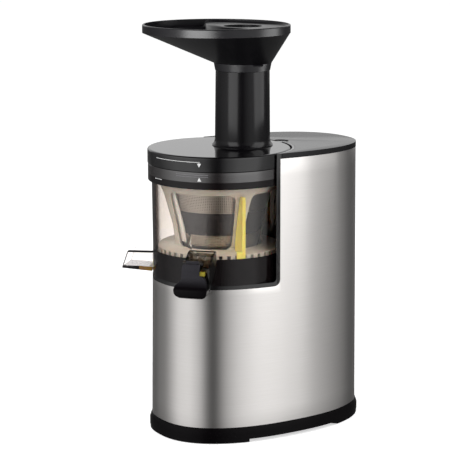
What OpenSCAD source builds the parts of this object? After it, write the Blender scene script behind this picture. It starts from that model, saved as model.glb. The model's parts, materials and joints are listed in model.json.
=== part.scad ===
// Upright cold press juicer: an oval steel body, a clear drum with its pressing screw,
// strainer and turning brush, a lid with a feed tube, and a lift-off feed tray.
// The drum's axis is the Z axis, the floor is z = 0 and the front faces -Y.

/* [Body] */
// Length of the steel body at its top, front to back
body_length = 262; // [258:1:266]
// Width of the steel body at its top
body_width = 168; // [166:1:170]
// Squareness of the oval plan, where 2 is a true ellipse
body_squareness = 2.35; // [2.25:0.05:2.45]
// Distance from the drum's axis back to the middle of the body
drum_to_middle = 52.3; // [51:0.1:54]
// Height of the steel sleeve's upper edge at the back
sleeve_top = 340; // [338:1:342]
// Height of the steel sleeve's upper edge at the front
sleeve_front_top = 188; // [187:1:189]
// Growth of the sleeve's plan from top to bottom
sleeve_spread = 1.026; // [1.02:0.001:1.03]
// Thickness of the steel sheet
steel_wall = 1.2; // [1:0.1:1.4]
// Distance from the drum's axis back to the cut in the sleeve's flanks
cut_back = 33.3; // [32:0.1:34]
// Radius in the lower corner of that cut
cut_corner = 8; // [6:1:9]
// Width of the black edging along the cut
edging = 5; // [4.5:0.5:5.5]
// Thickness of the cover behind the lid
cover_height = 6.4; // [6:0.2:7]

/* [Base] */
// Height of the skirt's upper edge
skirt_top = 19.6; // [18:0.2:21]
// Growth of the skirt's plan over the top of the sleeve
skirt_spread = 1.049; // [1.045:0.001:1.055]
// Clear height under the skirt between its feet
foot_height = 4.6; // [4:0.2:5]
// Height of the feet bands over the floor, where the rubber stands proud
foot_gap = 0.8; // [0.6:0.1:1]

/* [Drum] */
// Height of the floor that the drum stands on
seat_top = 193; // [192:1:194]
// Outer radius of the clear bowl at its top
bowl_radius = 81; // [80.5:0.1:81.5]
// Wall of the clear bowl
bowl_wall = 2.6; // [2.4:0.1:2.8]
// Height of the upper side of the bowl's floor
bowl_floor = 212; // [211:1:213]
// Height of the bowl's clear upper edge
bowl_top = 310; // [308:1:311]
// Height of the dark base around the bowl
dark_top = 225; // [224:1:226]
// Height of the joint between the bowl's ring and the lid
ring_top = 328.5; // [328:0.5:329]
// Outer radius of the lid
lid_radius = 86; // [85.5:0.1:86]

/* [Feed] */
// Distance from the drum's axis back to the axis of the feed tube
feed_back = 33.3; // [32.5:0.1:34]
// Outer radius of the feed tube at its top
feed_radius = 32.5; // [32:0.1:33]
// Height of the joint between feed tube and feed tray
feed_top = 437; // [430:1:445]
// Radius of the hole that the food goes through
feed_hole = 23; // [22:0.5:23.5]
// Outer radius of the feed tray
tray_radius = 86.5; // [84:0.5:88]
// Height of the feed tray's rim
tray_top = 493.2; // [490:0.2:496]

/* [Drive] */
// Teeth on each small gear of the gearbox
pinion_teeth = 12; // [12:1:12]
// Teeth on the wheel that the motor drives
first_teeth = 48; // [48:1:48]
// Teeth on the second wheel and on the output wheel
wheel_teeth = 42; // [42:1:42]
// Teeth on the gear under the pressing screw
screw_teeth = 34; // [34:1:34]
// Teeth on the small gear that turns the brush
idler_teeth = 15; // [15:1:15]
// Free play between gear teeth along the pitch circle
tooth_play = 0.3; // [0.25:0.05:0.4]

/* [Hidden] */

round_fn = 96;
small_fn = 48;
skin_gap = 0.3;
fit_gap = 0.05;

// Plan of the body
half_width = body_width / 2;
half_length = body_length / 2;
plan_steps = 96;

// Heights in the body
cover_top = sleeve_top + cover_height;
frame_bottom = 180;
frame_wall = 3;
recess_radius = lid_radius + 1.2;
wall_radius = recess_radius + 0.5;
plate_bottom = 7;
plate_thickness = 3;

// Gear sizes: module, pitch radii and centre distances
first_module = 1.25;
second_module = 1.5;
output_module = 2;
brush_module = 2;
brush_teeth = screw_teeth + 2 * idler_teeth;
pressure_angle = 25;
second_axle_y = (pinion_teeth + wheel_teeth) * output_module / 2;
first_axle_y = second_axle_y + (pinion_teeth + wheel_teeth) * second_module / 2;
motor_y = first_axle_y + (pinion_teeth + first_teeth) * first_module / 2;
idler_distance = (screw_teeth + idler_teeth) * brush_module / 2;
idler_azimuth = 150;

// Radii of the boss and seal round the drive shaft, the axle bushes and the motor bearings
seal_boss = 18;
seal_radius = 14;
bush_radius = 6.5;
hub_radius = 13;
bearing_radius = 11;

// Heights in the gearbox
case_bottom = 100;
case_top = 168;
gear_cover_top = 173;
first_wheel_z = 110;
second_wheel_z = 126;
output_wheel_z = 142;
axle_radius = 4;

// Heights in the motor
motor_radius = 37;
motor_wall = 2.5;
motor_top = 276;
rotor_radius = 25;

// Heights of the gears in the drum
drum_gear_z = bowl_floor + 1;
drum_gear_height = 9;
drum_gear_top = drum_gear_z + drum_gear_height;
shaft_radius = 7.5;
hex_radius = 6.9;

// Feed tray
tray_y = -2;
rim_height = 9.7;
neck_top = 446;
neck_radius = 34.9;
tray_wall = 2.5;
platform_top = tray_top - 3.8;
platform_arc = 117;
platform_front = 1;

// Angles from the front, turning towards +X
spout_azimuth = 45;
pulp_azimuth = -45;
post_azimuth = 83;
wiper_azimuth = 80.5;

// ---- Shared shapes

// Point of the oval plan at angle a
function oval_point(a, rx, ry) = [
    rx * sign(cos(a)) * pow(abs(cos(a)), 2 / body_squareness),
    ry * sign(sin(a)) * pow(abs(sin(a)), 2 / body_squareness)
];

// Oval plan about the middle of the body, grown by a factor and moved in by an inset
module oval(grow, inset = 0) {
    polygon([for (i = [0 : plan_steps - 1])
        oval_point(i * 360 / plan_steps, half_width * grow - inset, half_length * grow - inset)]);
}

// Growth of the sleeve's plan at height z
function sleeve_grow(z) =
    1 + (sleeve_spread - 1) * (sleeve_top - z) / (sleeve_top - skirt_top);

// Solid inside the sleeve's outer face moved in by an inset, from height z1 to z2
module sleeve_solid(z1, z2, inset = 0) {
    low = sleeve_grow(z1);
    high = sleeve_grow(z2);
    translate([0, drum_to_middle, z1])
        linear_extrude(z2 - z1, slices = 1, scale = [
            (half_width * high - inset) / (half_width * low - inset),
            (half_length * high - inset) / (half_length * low - inset)
        ])
            oval(low, inset);
}

// Upright oval slab
module oval_slab(z1, z2, grow, inset = 0) {
    translate([0, drum_to_middle, z1]) linear_extrude(z2 - z1) oval(grow, inset);
}

// Ring or tube about the Z axis
module tube(z1, z2, outer, inner) {
    translate([0, 0, z1])
        difference() {
            cylinder(h = z2 - z1, r = outer, $fn = round_fn);
            translate([0, 0, -1]) cylinder(h = z2 - z1 + 2, r = inner, $fn = round_fn);
        }
}

// Rod along Z
module rod(z1, z2, radius, fn = small_fn) {
    translate([0, 0, z1]) cylinder(h = z2 - z1, r = radius, $fn = fn);
}

// Places children with +X pointing outwards at an azimuth from the front
module at_azimuth(azimuth) {
    rotate([0, 0, azimuth - 90]) children();
}

// Side view outline, radius along X and height along Y, spread sideways from y1 to y2
module side_plate(points, y1, y2) {
    translate([0, y2, 0]) rotate([90, 0, 0]) linear_extrude(y2 - y1) polygon(points);
}

// Box given by its two corners
module block(low, high) {
    translate(low) cube(high - low);
}

// ---- Gears

// Involute function at a pressure angle, in degrees
function involute(angle) = tan(angle) * 180 / PI - angle;

// Half of a tooth's angle at radius r
function tooth_half(teeth, size, r, play) =
    let (pitch = teeth * size / 2, base = pitch * cos(pressure_angle))
        90 / teeth - play * 90 / (PI * pitch)
        + involute(pressure_angle) - involute(r > base ? acos(base / r) : 0);

// Outline of a gear with a tooth centred on +X, turned by a phase
module gear_outline(teeth, size, phase = 0, play = tooth_play, tip = 1, root = 1.25) {
    pitch = teeth * size / 2;
    radii = [pitch - root * size, pitch - 0.1 * size, pitch + tip * size];
    polygon([for (i = [0 : teeth - 1], k = [-3, -2, -1, 1, 2, 3])
        let (r = radii[3 - abs(k)],
             a = phase + i * 360 / teeth + sign(k) * tooth_half(teeth, size, r, play))
            r * [cos(a), sin(a)]]);
}

module gear(z1, z2, teeth, size, phase = 0) {
    translate([0, 0, z1]) linear_extrude(z2 - z1) gear_outline(teeth, size, phase);
}

// Phase that sets a driven gear in mesh with a gear of known phase,
// where the driven gear lies in a direction from the known one
function mesh_phase(teeth, phase, next_teeth, direction) =
    direction + 180 - ((0.5 - (direction - phase) * teeth / 360) * 360 / next_teeth);

// Phase of the spaces of an internal ring gear that is in mesh with a small gear inside it
function ring_phase(teeth, phase, ring_teeth, direction) =
    direction - (direction - phase) * teeth / ring_teeth;

second_phase = mesh_phase(wheel_teeth, 0, pinion_teeth, 90);
first_phase = mesh_phase(wheel_teeth, 0, pinion_teeth, 90);
motor_phase = mesh_phase(first_teeth, 0, pinion_teeth, 90);
idler_phase = mesh_phase(screw_teeth, 0, idler_teeth, idler_azimuth - 90);
brush_phase = ring_phase(idler_teeth, idler_phase, brush_teeth, idler_azimuth - 90);

// ---- Base and housing

// Side view of what is cut out of the sleeve for the drum: back edge, floor and corner
module recess_cutter(back, floor_z, corner) {
    translate([-200, 0, 0]) rotate([90, 0, 90]) linear_extrude(400) {
        translate([-300, floor_z]) square([300 + back - corner, 300]);
        translate([-300, floor_z + corner]) square([300 + back, 300]);
        translate([back - corner, floor_z + corner]) circle(r = corner, $fn = small_fn);
    }
}

// Half-plane in front of or behind a line across the body
module front_of(y) {
    block([-200, -300, -10], [200, y, 600]);
}

module behind(y) {
    block([-200, y, -10], [200, 400, 600]);
}

// Posts that carry the gearbox on the bottom plate
chassis_posts = [[-38, -28], [38, -28], [-34, 139], [34, 139]];
skirt_shoulder = 12.5;
front_foot_end = -7.5;
rear_foot_start = 116;

module base_skirt() {
    color("#141313")
    difference() {
        union() {
            oval_slab(foot_height, skirt_shoulder, skirt_spread);
            translate([0, drum_to_middle, skirt_shoulder])
                linear_extrude(skirt_top - skirt_shoulder, slices = 1,
                    scale = (sleeve_spread + 0.002) / skirt_spread) oval(skirt_spread);
            intersection() {
                oval_slab(foot_gap, foot_height, skirt_spread - 0.006);
                union() {
                    front_of(front_foot_end);
                    rotate([90, 0, 90]) translate([0, 0, -150]) linear_extrude(300)
                        polygon([[rear_foot_start + 10, 0], [rear_foot_start - 6, foot_height],
                            [300, foot_height], [300, 0]]);
                }
            }
        }
        // Hollow for the bottom plate and the mechanism
        oval_slab(plate_bottom, skirt_top + 1, sleeve_spread, 6);
        // Open middle between the feet bands
        oval_slab(foot_gap - 1, plate_bottom + 1, sleeve_spread, 18);
    }
}

module bottom_plate() {
    color("#1c1b1b")
    difference() {
        oval_slab(plate_bottom, plate_bottom + plate_thickness, sleeve_spread, 6.2);
        // Air slots under the motor
        for (i = [-4 : 4])
            block([-24, motor_y - 18 + i * 7 - 1.5, 0], [24, motor_y - 18 + i * 7 + 1.5, 20]);
        for (p = chassis_posts) translate(p) rod(0, 20, 2.2);
    }
}

// Rubber foot: the part of a band under the skirt, in front of or behind a line
module foot_band(inset, width, z1, z2) {
    difference() {
        oval_slab(z1, z2, sleeve_spread, inset);
        oval_slab(z1 - 1, z2 + 1, sleeve_spread, inset + width);
    }
}

module rubber_feet() {
    color("#0d0d0d") {
        intersection() {
            foot_band(18.2, 9, 0, plate_bottom);
            front_of(6);
        }
        intersection() {
            foot_band(18.2, 9, 0, plate_bottom);
            behind(rear_foot_start + 12);
        }
    }
}

module base_screws() {
    color("#8c8c8c")
    for (p = chassis_posts) translate(p) {
        rod(plate_bottom - 2, plate_bottom, 3.6);
        rod(plate_bottom, plate_bottom + 18, 2);
    }
}

module steel_sleeve() {
    color("#b9b5b2")
    difference() {
        sleeve_solid(skirt_top, sleeve_top);
        sleeve_solid(skirt_top - 1, sleeve_top + 1, steel_wall);
        recess_cutter(cut_back, sleeve_front_top, cut_corner);
        // Window for the switch and hole for the cord inlet
        block([-14, 150, 62], [14, 250, 88]);
        translate([0, 150, 38]) rotate([-90, 0, 0]) cylinder(h = 100, r = 9, $fn = small_fn);
    }
}

module recess_frame() {
    color("#121112")
    difference() {
        union() {
            // Edging that shows along the cut in the sleeve
            intersection() {
                difference() {
                    recess_cutter(cut_back - 0.1, sleeve_front_top + 0.1, cut_corner);
                    recess_cutter(cut_back - edging, seat_top, cut_corner - 3);
                }
                sleeve_solid(sleeve_front_top, sleeve_top);
            }
            // Floor under the drum
            intersection() {
                sleeve_solid(frame_bottom, seat_top, steel_wall + skin_gap);
                rod(frame_bottom, seat_top, recess_radius + frame_wall, round_fn);
            }
            rod(seat_top, seal_top, seal_boss);
        }
        // The drum and its curved wall stay free above the floor
        difference() {
            rod(seat_top, sleeve_top + 1, recess_radius + 0.01, round_fn);
            rod(seat_top - 1, seal_top, seal_boss);
        }
        rod(frame_bottom - 1, seat_top + 3, shaft_radius + 1);
        rod(seat_top - 5, seal_top + 1, seal_radius);
    }
}

notch_radius = 15;
seal_top = seat_top + 7;

// Finger notch beside the lid
module finger_notch() {
    translate([-11, recess_radius - 2, cover_top - 1.5]) rod(0, 5, notch_radius);
}

// Curved wall behind the drum, whose upper edge is the rim beside the lid
module drum_wall() {
    color("#121112")
    difference() {
        union() {
            intersection() {
                sleeve_solid(seat_top, sleeve_top, steel_wall + skin_gap);
                tube(seat_top, sleeve_top, wall_radius + frame_wall, wall_radius);
                behind(cut_back);
            }
            intersection() {
                oval_slab(sleeve_top, cover_top, 1.002);
                tube(sleeve_top, cover_top, wall_radius + frame_wall, wall_radius);
                behind(cut_back - edging);
            }
        }
        finger_notch();
    }
}

module shaft_seal() {
    color("#2b2b2b")
    tube(seat_top - 5, seal_top, seal_radius, shaft_radius + fit_gap);
}

module top_cover() {
    color("#1a191b")
    difference() {
        union() {
            intersection() {
                oval_slab(sleeve_top, cover_top, 1.002);
                behind(cut_back - edging);
            }
            // Lip that drops inside the sleeve
            intersection() {
                difference() {
                    sleeve_solid(sleeve_top - 6, sleeve_top, steel_wall + skin_gap);
                    sleeve_solid(sleeve_top - 7, sleeve_top + 1, steel_wall + 2.5);
                }
                behind(cut_back + 12);
            }
        }
        rod(sleeve_top - 8, cover_top + 1, wall_radius + frame_wall + skin_gap, round_fn);
        finger_notch();
    }
}

// ---- Drive in the body

module case_outline(wall) {
    hull() {
        circle(r = 52 + wall, $fn = 64);
        translate([0, motor_y]) circle(r = 38 + wall, $fn = 64);
    }
}

// Rail between two posts
module chassis_rail(from, to) {
    way = to - from;
    translate([from[0], from[1], 60]) rotate([0, 0, atan2(way[1], way[0])])
        translate([0, -4, 0]) cube([norm(way), 8, 12]);
}

module chassis() {
    color("#3a3a3c")
    difference() {
        union() {
            for (p = chassis_posts) translate(p) rod(plate_bottom + plate_thickness, case_bottom, 8);
            for (i = [0, 1]) {
                chassis_rail(chassis_posts[2 * i], chassis_posts[2 * i + 1]);
                chassis_rail(chassis_posts[i], chassis_posts[i + 2]);
            }
        }
        for (p = chassis_posts) translate(p) rod(0, 30, 2.1);
    }
}

module gearbox_case() {
    color("#4a4a4d")
    difference() {
        translate([0, 0, case_bottom]) linear_extrude(case_top - case_bottom) case_outline(4);
        difference() {
            translate([0, 0, case_bottom + 4]) linear_extrude(case_top) case_outline(0);
            for (y = [0, second_axle_y, first_axle_y, motor_y])
                translate([0, y, 0]) rod(case_bottom, case_bottom + 7, 10);
        }
        // Seats for the bushes
        for (y = [0, second_axle_y, first_axle_y, motor_y])
            translate([0, y, 0]) rod(case_bottom + 2, case_bottom + 9, bush_radius);
    }
}

module gearbox_cover() {
    color("#55555a")
    difference() {
        union() {
            translate([0, 0, case_top]) linear_extrude(gear_cover_top - case_top) case_outline(4);
            // Pads that carry the frame above
            for (x = [-40, 40]) translate([x, 0, 0]) rod(case_top, frame_bottom, 5);
            translate([0, -40, 0]) rod(case_top, frame_bottom, 5);
            translate([0, motor_y, 0]) rod(case_top, gear_cover_top + 3, 20);
            // Shelf for the control board
            block([30, 108, case_top], [56, 154, gear_cover_top]);
        }
        rod(case_top - 1, gear_cover_top + 1, hub_radius);
        for (y = [second_axle_y, first_axle_y])
            translate([0, y, 0]) rod(case_top - 1, case_top + 3, bush_radius);
        translate([0, motor_y, 0]) rod(case_top - 1, gear_cover_top + 4, bearing_radius);
    }
}

module gearbox_screws() {
    color("#9a9a9a")
    for (p = [[-46, -30], [46, -30], [-43, 120], [43, 120]])
        translate(p) rod(gear_cover_top, gear_cover_top + 3, 3.5);
}

module axle_bushes() {
    color("#b08d57") {
        for (y = [second_axle_y, first_axle_y]) translate([0, y, 0]) {
            tube(case_bottom + 2, case_bottom + 9, bush_radius, axle_radius + fit_gap);
            tube(case_top - 1, case_top + 3, bush_radius, axle_radius + fit_gap);
        }
        translate([0, motor_y, 0]) tube(case_bottom + 2, case_bottom + 9, bush_radius, axle_radius + fit_gap);
        tube(case_bottom + 2, case_bottom + 9, bush_radius, axle_radius + fit_gap);
        tube(case_top, gear_cover_top, hub_radius, shaft_radius + fit_gap);
    }
}

module motor_can() {
    color("#7d7f83")
    translate([0, motor_y, 0])
        difference() {
            rod(gear_cover_top + 3, motor_top - 3, motor_radius, round_fn);
            rod(gear_cover_top + 6, motor_top, motor_radius - motor_wall, round_fn);
            rod(gear_cover_top, motor_top, bearing_radius);
        }
}

module motor_magnets() {
    color("#3b3b3f")
    translate([0, motor_y, 0])
        difference() {
            tube(195, 250, motor_radius - motor_wall, rotor_radius + 1);
            block([-50, -8, 190], [50, 8, 260]);
        }
}

module motor_end_plate() {
    color("#66686c")
    translate([0, motor_y, 0])
        difference() {
            rod(motor_top - 3, motor_top, motor_radius, round_fn);
            rod(motor_top - 4, motor_top + 1, bearing_radius);
            for (a = [45 : 90 : 359]) rotate([0, 0, a])
                translate([24, 0, 0]) rod(motor_top - 4, motor_top + 1, 5);
        }
}

module motor_bearings() {
    color("#c9c9cc")
    translate([0, motor_y, 0]) {
        tube(gear_cover_top + 1, gear_cover_top + 8, bearing_radius, axle_radius + fit_gap);
        tube(motor_top - 7, motor_top, bearing_radius, axle_radius + fit_gap);
    }
}

module carbon_brushes() {
    color("#2a2a2a")
    translate([0, motor_y, 0])
        for (s = [-1, 1]) scale([s, 1, 1]) block([12.3, -3, 258], [motor_radius - motor_wall - 0.2, 3, 266]);
}

module motor_shaft() {
    color("#cfd0d2")
    translate([0, motor_y, 0]) {
        rod(case_bottom + 3, 300, axle_radius);
        gear(first_wheel_z - 0.5, first_wheel_z + 14, pinion_teeth, first_module, motor_phase);
    }
}

module rotor_core() {
    color("#8f6a45")
    translate([0, motor_y, 0])
        difference() {
            rod(197, 248, rotor_radius, round_fn);
            rod(190, 260, axle_radius);
            // Slots for the windings
            for (a = [0 : 30 : 359]) rotate([0, 0, a]) block([14, -1.5, 190], [40, 1.5, 260]);
        }
}

module commutator() {
    color("#b87333")
    translate([0, motor_y, 0]) tube(254, 268, 12, axle_radius);
}

module cooling_fan() {
    color("#2e2e30")
    translate([0, motor_y, 0])
        difference() {
            union() {
                rod(284, 296, 9);
                rod(284, 286, 33);
                for (a = [0 : 40 : 359]) rotate([0, 0, a]) block([8, -1, 285], [32, 1, 296]);
            }
            rod(280, 300, axle_radius);
        }
}

module first_gear() {
    color("#d8d3c4")
    translate([0, first_axle_y, 0])
        difference() {
            union() {
                gear(first_wheel_z, first_wheel_z + 10, first_teeth, first_module);
                gear(first_wheel_z + 10, second_wheel_z + 14, pinion_teeth, second_module, first_phase);
            }
            rod(100, 170, axle_radius);
        }
}

module first_axle() {
    color("#cfd0d2")
    translate([0, first_axle_y, 0]) rod(case_bottom + 3, case_top + 2, axle_radius);
}

module second_gear() {
    color("#d8d3c4")
    translate([0, second_axle_y, 0])
        difference() {
            union() {
                gear(second_wheel_z, second_wheel_z + 12, wheel_teeth, second_module);
                gear(second_wheel_z + 12, output_wheel_z + 18, pinion_teeth, output_module, second_phase);
            }
            rod(100, 170, axle_radius);
        }
}

module second_axle() {
    color("#cfd0d2")
    translate([0, second_axle_y, 0]) rod(case_bottom + 3, case_top + 2, axle_radius);
}

module output_gear() {
    color("#d8d3c4")
    difference() {
        gear(output_wheel_z, output_wheel_z + 16, wheel_teeth, output_module);
        rod(100, 170, shaft_radius);
    }
}

module drive_shaft() {
    color("#d4d5d7") {
        rod(case_bottom + 3, output_wheel_z - 6, axle_radius);
        rod(output_wheel_z - 6, 232, shaft_radius);
        translate([0, 0, 232]) cylinder(h = 24, r = hex_radius, $fn = 6);
    }
}

// ---- Electrics

module control_board() {
    color("#2f6b45")
    block([52, 108, gear_cover_top], [54, 154, 270]);
}

module board_parts() {
    color("#23262b") {
        block([42, 112, 200], [52, 132, 222]);
        translate([52, 142, 212]) rotate([0, -90, 0]) cylinder(h = 12, r = 8, $fn = small_fn);
        translate([52, 142, 238]) rotate([0, -90, 0]) cylinder(h = 12, r = 6, $fn = small_fn);
        block([46, 110, 235], [52, 130, 245]);
    }
}

sensor_front = wall_radius + frame_wall + 0.5;

module lid_sensor() {
    color("#26272a")
    block([-8, sensor_front, sleeve_top - 12], [8, sensor_front + 11, sleeve_top]);
}

switch_y = 178;
switch_z = 75;
switch_face = 186.2;

module switch_housing() {
    color("#101010")
    difference() {
        union() {
            block([-13.8, 158, switch_z - 12.8], [13.8, switch_face, switch_z + 12.8]);
            block([-17, switch_face, switch_z - 16], [17, switch_face + 2.2, switch_z + 16]);
        }
        block([-10, 167, switch_z - 10], [10, 190, switch_z + 10]);
        // Holes for the rocker's trunnions
        translate([-12.5, switch_y, switch_z]) rotate([0, 90, 0])
            cylinder(h = 25, r = pin_radius + fit_gap, $fn = small_fn);
    }
}

module switch_rocker() {
    color("#1b1b1c")
    translate([0, switch_y, switch_z]) {
        // Pressed faces meet in a shallow valley
        rotate([90, 0, 90]) translate([0, 0, -9.5]) linear_extrude(19)
            polygon([[10.6, -8], [8.8, 0], [10.6, 8], [-3, 8], [-6, 3], [-6, -3], [-3, -8]]);
        rotate([0, 90, 0]) cylinder(h = 24, r = pin_radius, center = true, $fn = small_fn);
    }
}

module cord_inlet() {
    color("#101010")
    translate([0, switch_y, 38]) rotate([-90, 0, 0])
        difference() {
            union() {
                cylinder(h = 8.7, r = 8.9, $fn = small_fn);
                translate([0, 0, 8.7]) cylinder(h = 2.4, r = 12, $fn = small_fn);
            }
            translate([0, 0, -1]) cylinder(h = 20, r = 3.6, $fn = small_fn);
        }
}

// ---- Drum

bowl_low = bowl_radius - 0.9;
bowl_step = 78.9;

// Clear spout outline, radius and height, whole and hollow
spout_outline = [[74, 235], [88, 234], [104, 226.5], [113, 221.5], [114, 196.5], [106, 198.6], [98, 203.6],
    [84, 212.5], [74, 212.5]];
spout_hollow = [[70, 232], [87.5, 231.5], [103, 224.2], [111, 219.8], [111.8, 199.2], [106.8, 201], [99, 206],
    [84.6, 214.9], [70, 214.9]];
spout_half = 15.8;
spout_wall = 2.2;
pin_at = [111, 226.6];
pin_radius = 1.5;
chimney_top = 232.8;
chimney_radius = 14;
idler_post = 4;

// Places children on the axis of the cap's pin, with +Z to the spout's left
module on_cap_pin(side) {
    translate([pin_at[0], side, pin_at[1]]) rotate([90, 0, 0]) children();
}

// Lug that holds the cap's pin over the spout, from side y1 to y2
module pin_lug(y1, y2) {
    side_plate([[107.8, 217], [107.8, 226.6], [114.2, 226.6], [114, 217]], y1, y2);
    on_cap_pin(y2) cylinder(h = y2 - y1, r = 3.2, $fn = small_fn);
}

// Cone of the bowl's clear wall, moved in by an inset
module bowl_cone(z1, z2, inset = 0) {
    translate([0, 0, z1])
        cylinder(h = z2 - z1, r1 = bowl_low - inset, r2 = bowl_radius - inset, $fn = round_fn);
}

// Places children on the post of the small gear that turns the brush
module on_idler() {
    at_azimuth(idler_azimuth) translate([idler_distance, 0, 0]) children();
}

module bowl() {
    color([0.78, 0.74, 0.72, 0.35])
    difference() {
        union() {
            bowl_cone(dark_top, bowl_top);
            rod(bowl_floor - 4, dark_top, bowl_step, round_fn);
            at_azimuth(spout_azimuth) side_plate(spout_outline, -spout_half, spout_half);
            at_azimuth(spout_azimuth) {
                pin_lug(-spout_half, -12);
                pin_lug(4, 7.5);
            }
        }
        difference() {
            union() {
                bowl_cone(dark_top, bowl_top + 1, bowl_wall);
                rod(bowl_floor, dark_top + 0.01, bowl_low - bowl_wall - 0.2, round_fn);
            }
            // Chimney round the drive shaft and post for the small gear
            rod(bowl_floor - 1, chimney_top, chimney_radius);
            on_idler() rod(bowl_floor - 1, drum_gear_top, idler_post);
        }
        // Way through for the shaft and its seal
        rod(200, 240, 10);
        // Juice way from the bowl into the spout, and out at its low end
        at_azimuth(spout_azimuth) {
            side_plate(spout_hollow, -spout_half + spout_wall, spout_half - spout_wall);
            block([101, -6, 190], [109, 6, 205]);
            on_cap_pin(20) cylinder(h = 40, r = pin_radius, $fn = small_fn);
        }
        // Pulp way through the floor
        at_azimuth(pulp_azimuth) block([56, -12, 200], [74, 12, 230]);
    }
}

module bowl_base() {
    color("#1a1514")
    difference() {
        union() {
            difference() {
                rod(seat_top + 0.1, dark_top - 0.2, bowl_low + 0.1, round_fn);
                rod(seat_top - 1, dark_top, bowl_step + 0.1, round_fn);
            }
            difference() {
                rod(seat_top + 0.1, bowl_floor - 4, bowl_step + 0.2, round_fn);
                rod(seat_top - 1, bowl_floor, bowl_step - 3, round_fn);
            }
            tube(seat_top + 8, bowl_floor - 4, 24, 19);
            for (a = [15 : 60 : 359]) rotate([0, 0, a])
                block([23, -1.5, seat_top + 6], [77, 1.5, bowl_floor - 4]);
        }
        at_azimuth(spout_azimuth) block([70, -spout_half - 0.1, 212.4], [90, spout_half + 0.1, 240]);
        at_azimuth(pulp_azimuth) block([55, -18.2, 190], [90, 18.2, 218]);
    }
}

module bowl_ring() {
    color("#1b1a1c") {
        tube(bowl_top, ring_top, lid_radius - 0.5, bowl_radius + 0.5);
        // Lugs that hold the lid down
        for (a = [0 : 90 : 359]) rotate([0, 0, a])
            intersection() {
                tube(ring_top - 5.5, ring_top - 2, bowl_radius + 1, collar_radius + 0.6);
                side_wedge(15);
            }
        tube(bowl_top, bowl_top + 3, bowl_radius + 1, bowl_radius - bowl_wall);
    }
}

// Wedge about +X with a half angle, for cutting arcs out of rings
module side_wedge(half) {
    linear_extrude(600)
        polygon([[0, 0], 200 * [cos(half), -sin(half)], [200, 0], 200 * [cos(half), sin(half)]]);
}

module bowl_seal() {
    color("#d9b23a")
    tube(222, 230, 10, shaft_radius + fit_gap);
}

// Pulp trough outline, radius and height
pulp_outline = [[79.4, 218], [109.4, 217.4], [117, 196], [79.4, 194.4]];
pulp_inner = [[56, bowl_floor - 4], [80, bowl_floor - 4], [80, 194.4], [56, 200]];
pulp_half = 18;
pulp_wall = 2.2;
// Height of the trough's floor at radius r
function pulp_floor(r) = 197.5 + (r - 60) / 40;

module pulp_spout() {
    color([0.8, 0.75, 0.7, 0.4])
    at_azimuth(pulp_azimuth)
        difference() {
            union() {
                side_plate(pulp_outline, -pulp_half, pulp_half);
                side_plate(pulp_inner, -pulp_half, pulp_half);
            }
            side_plate([[60, 230], [120, 230], [120, pulp_floor(120)], [60, pulp_floor(60)]],
                -pulp_half + pulp_wall, pulp_half - pulp_wall);
        }
}

plug_back = 76.5;
plug_front = 79;

module pulp_plug() {
    color("#c9a227")
    at_azimuth(pulp_azimuth)
        side_plate([[plug_back, pulp_floor(plug_back)], [plug_front, pulp_floor(plug_front)],
            [plug_front, bowl_floor - 4.2], [plug_back, bowl_floor - 4.2]],
            -pulp_half + pulp_wall, pulp_half - pulp_wall);
}

module cap_pin() {
    color("#9c9ca0")
    at_azimuth(spout_azimuth) on_cap_pin(7.5) cylinder(h = 23.3, r = pin_radius, $fn = small_fn);
}

// Strainer: outer radius of its mesh at height z
mesh_bottom = 228;
mesh_top = 300;
function mesh_radius(z) = 45 + (z - mesh_bottom) * 17 / (mesh_top - mesh_bottom);

// Conical shell between two heights
module cone_shell(z1, z2, r1, r2, wall) {
    translate([0, 0, z1])
        difference() {
            cylinder(h = z2 - z1, r1 = r1, r2 = r2, $fn = round_fn);
            translate([0, 0, -0.01])
                cylinder(h = z2 - z1 + 0.02, r1 = r1 - wall, r2 = r2 - wall, $fn = round_fn);
        }
}

band_bottom = 247.5;
band_top = 275;
rib_depth = 1.3;

module strainer_mesh() {
    color("#a59c90")
    cone_shell(mesh_bottom, mesh_top, mesh_radius(mesh_bottom), mesh_radius(mesh_top), 0.8);
}

module strainer_frame() {
    color("#3a3636")
    difference() {
        union() {
            tube(mesh_top, mesh_top + 6, 66, 61);
            // Band round the middle of the mesh
            cone_shell(band_bottom, band_top, mesh_radius(band_bottom) + rib_depth,
                mesh_radius(band_top) + rib_depth, rib_depth);
            tube(drum_gear_top + 0.8, mesh_bottom, 47, 43);
            // Ribs outside the mesh, behind the posts of the basket
            for (i = [0 : 3]) at_azimuth(post_azimuth + i * 90)
                side_plate([
                    [mesh_radius(mesh_bottom), mesh_bottom - 1], [mesh_radius(mesh_top), mesh_top],
                    [mesh_radius(mesh_top) + rib_depth, mesh_top],
                    [mesh_radius(mesh_bottom) + rib_depth, mesh_bottom - 1]], -1, 1);
            // Foot that stands on the bowl's floor, open where the small gear turns
            tube(bowl_floor, drum_gear_top + 1, 47, 41);
        }
        on_idler() rod(bowl_floor - 1, drum_gear_top + 0.8, 19);
        at_azimuth(pulp_azimuth) block([36, -12, bowl_floor - 1], [60, 12, drum_gear_top]);
    }
}

// Pressing screw
screw_top = 314;
thread_low = 236;
top_pin_radius = 4;
screw_hollow = chimney_radius + 1;

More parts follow.
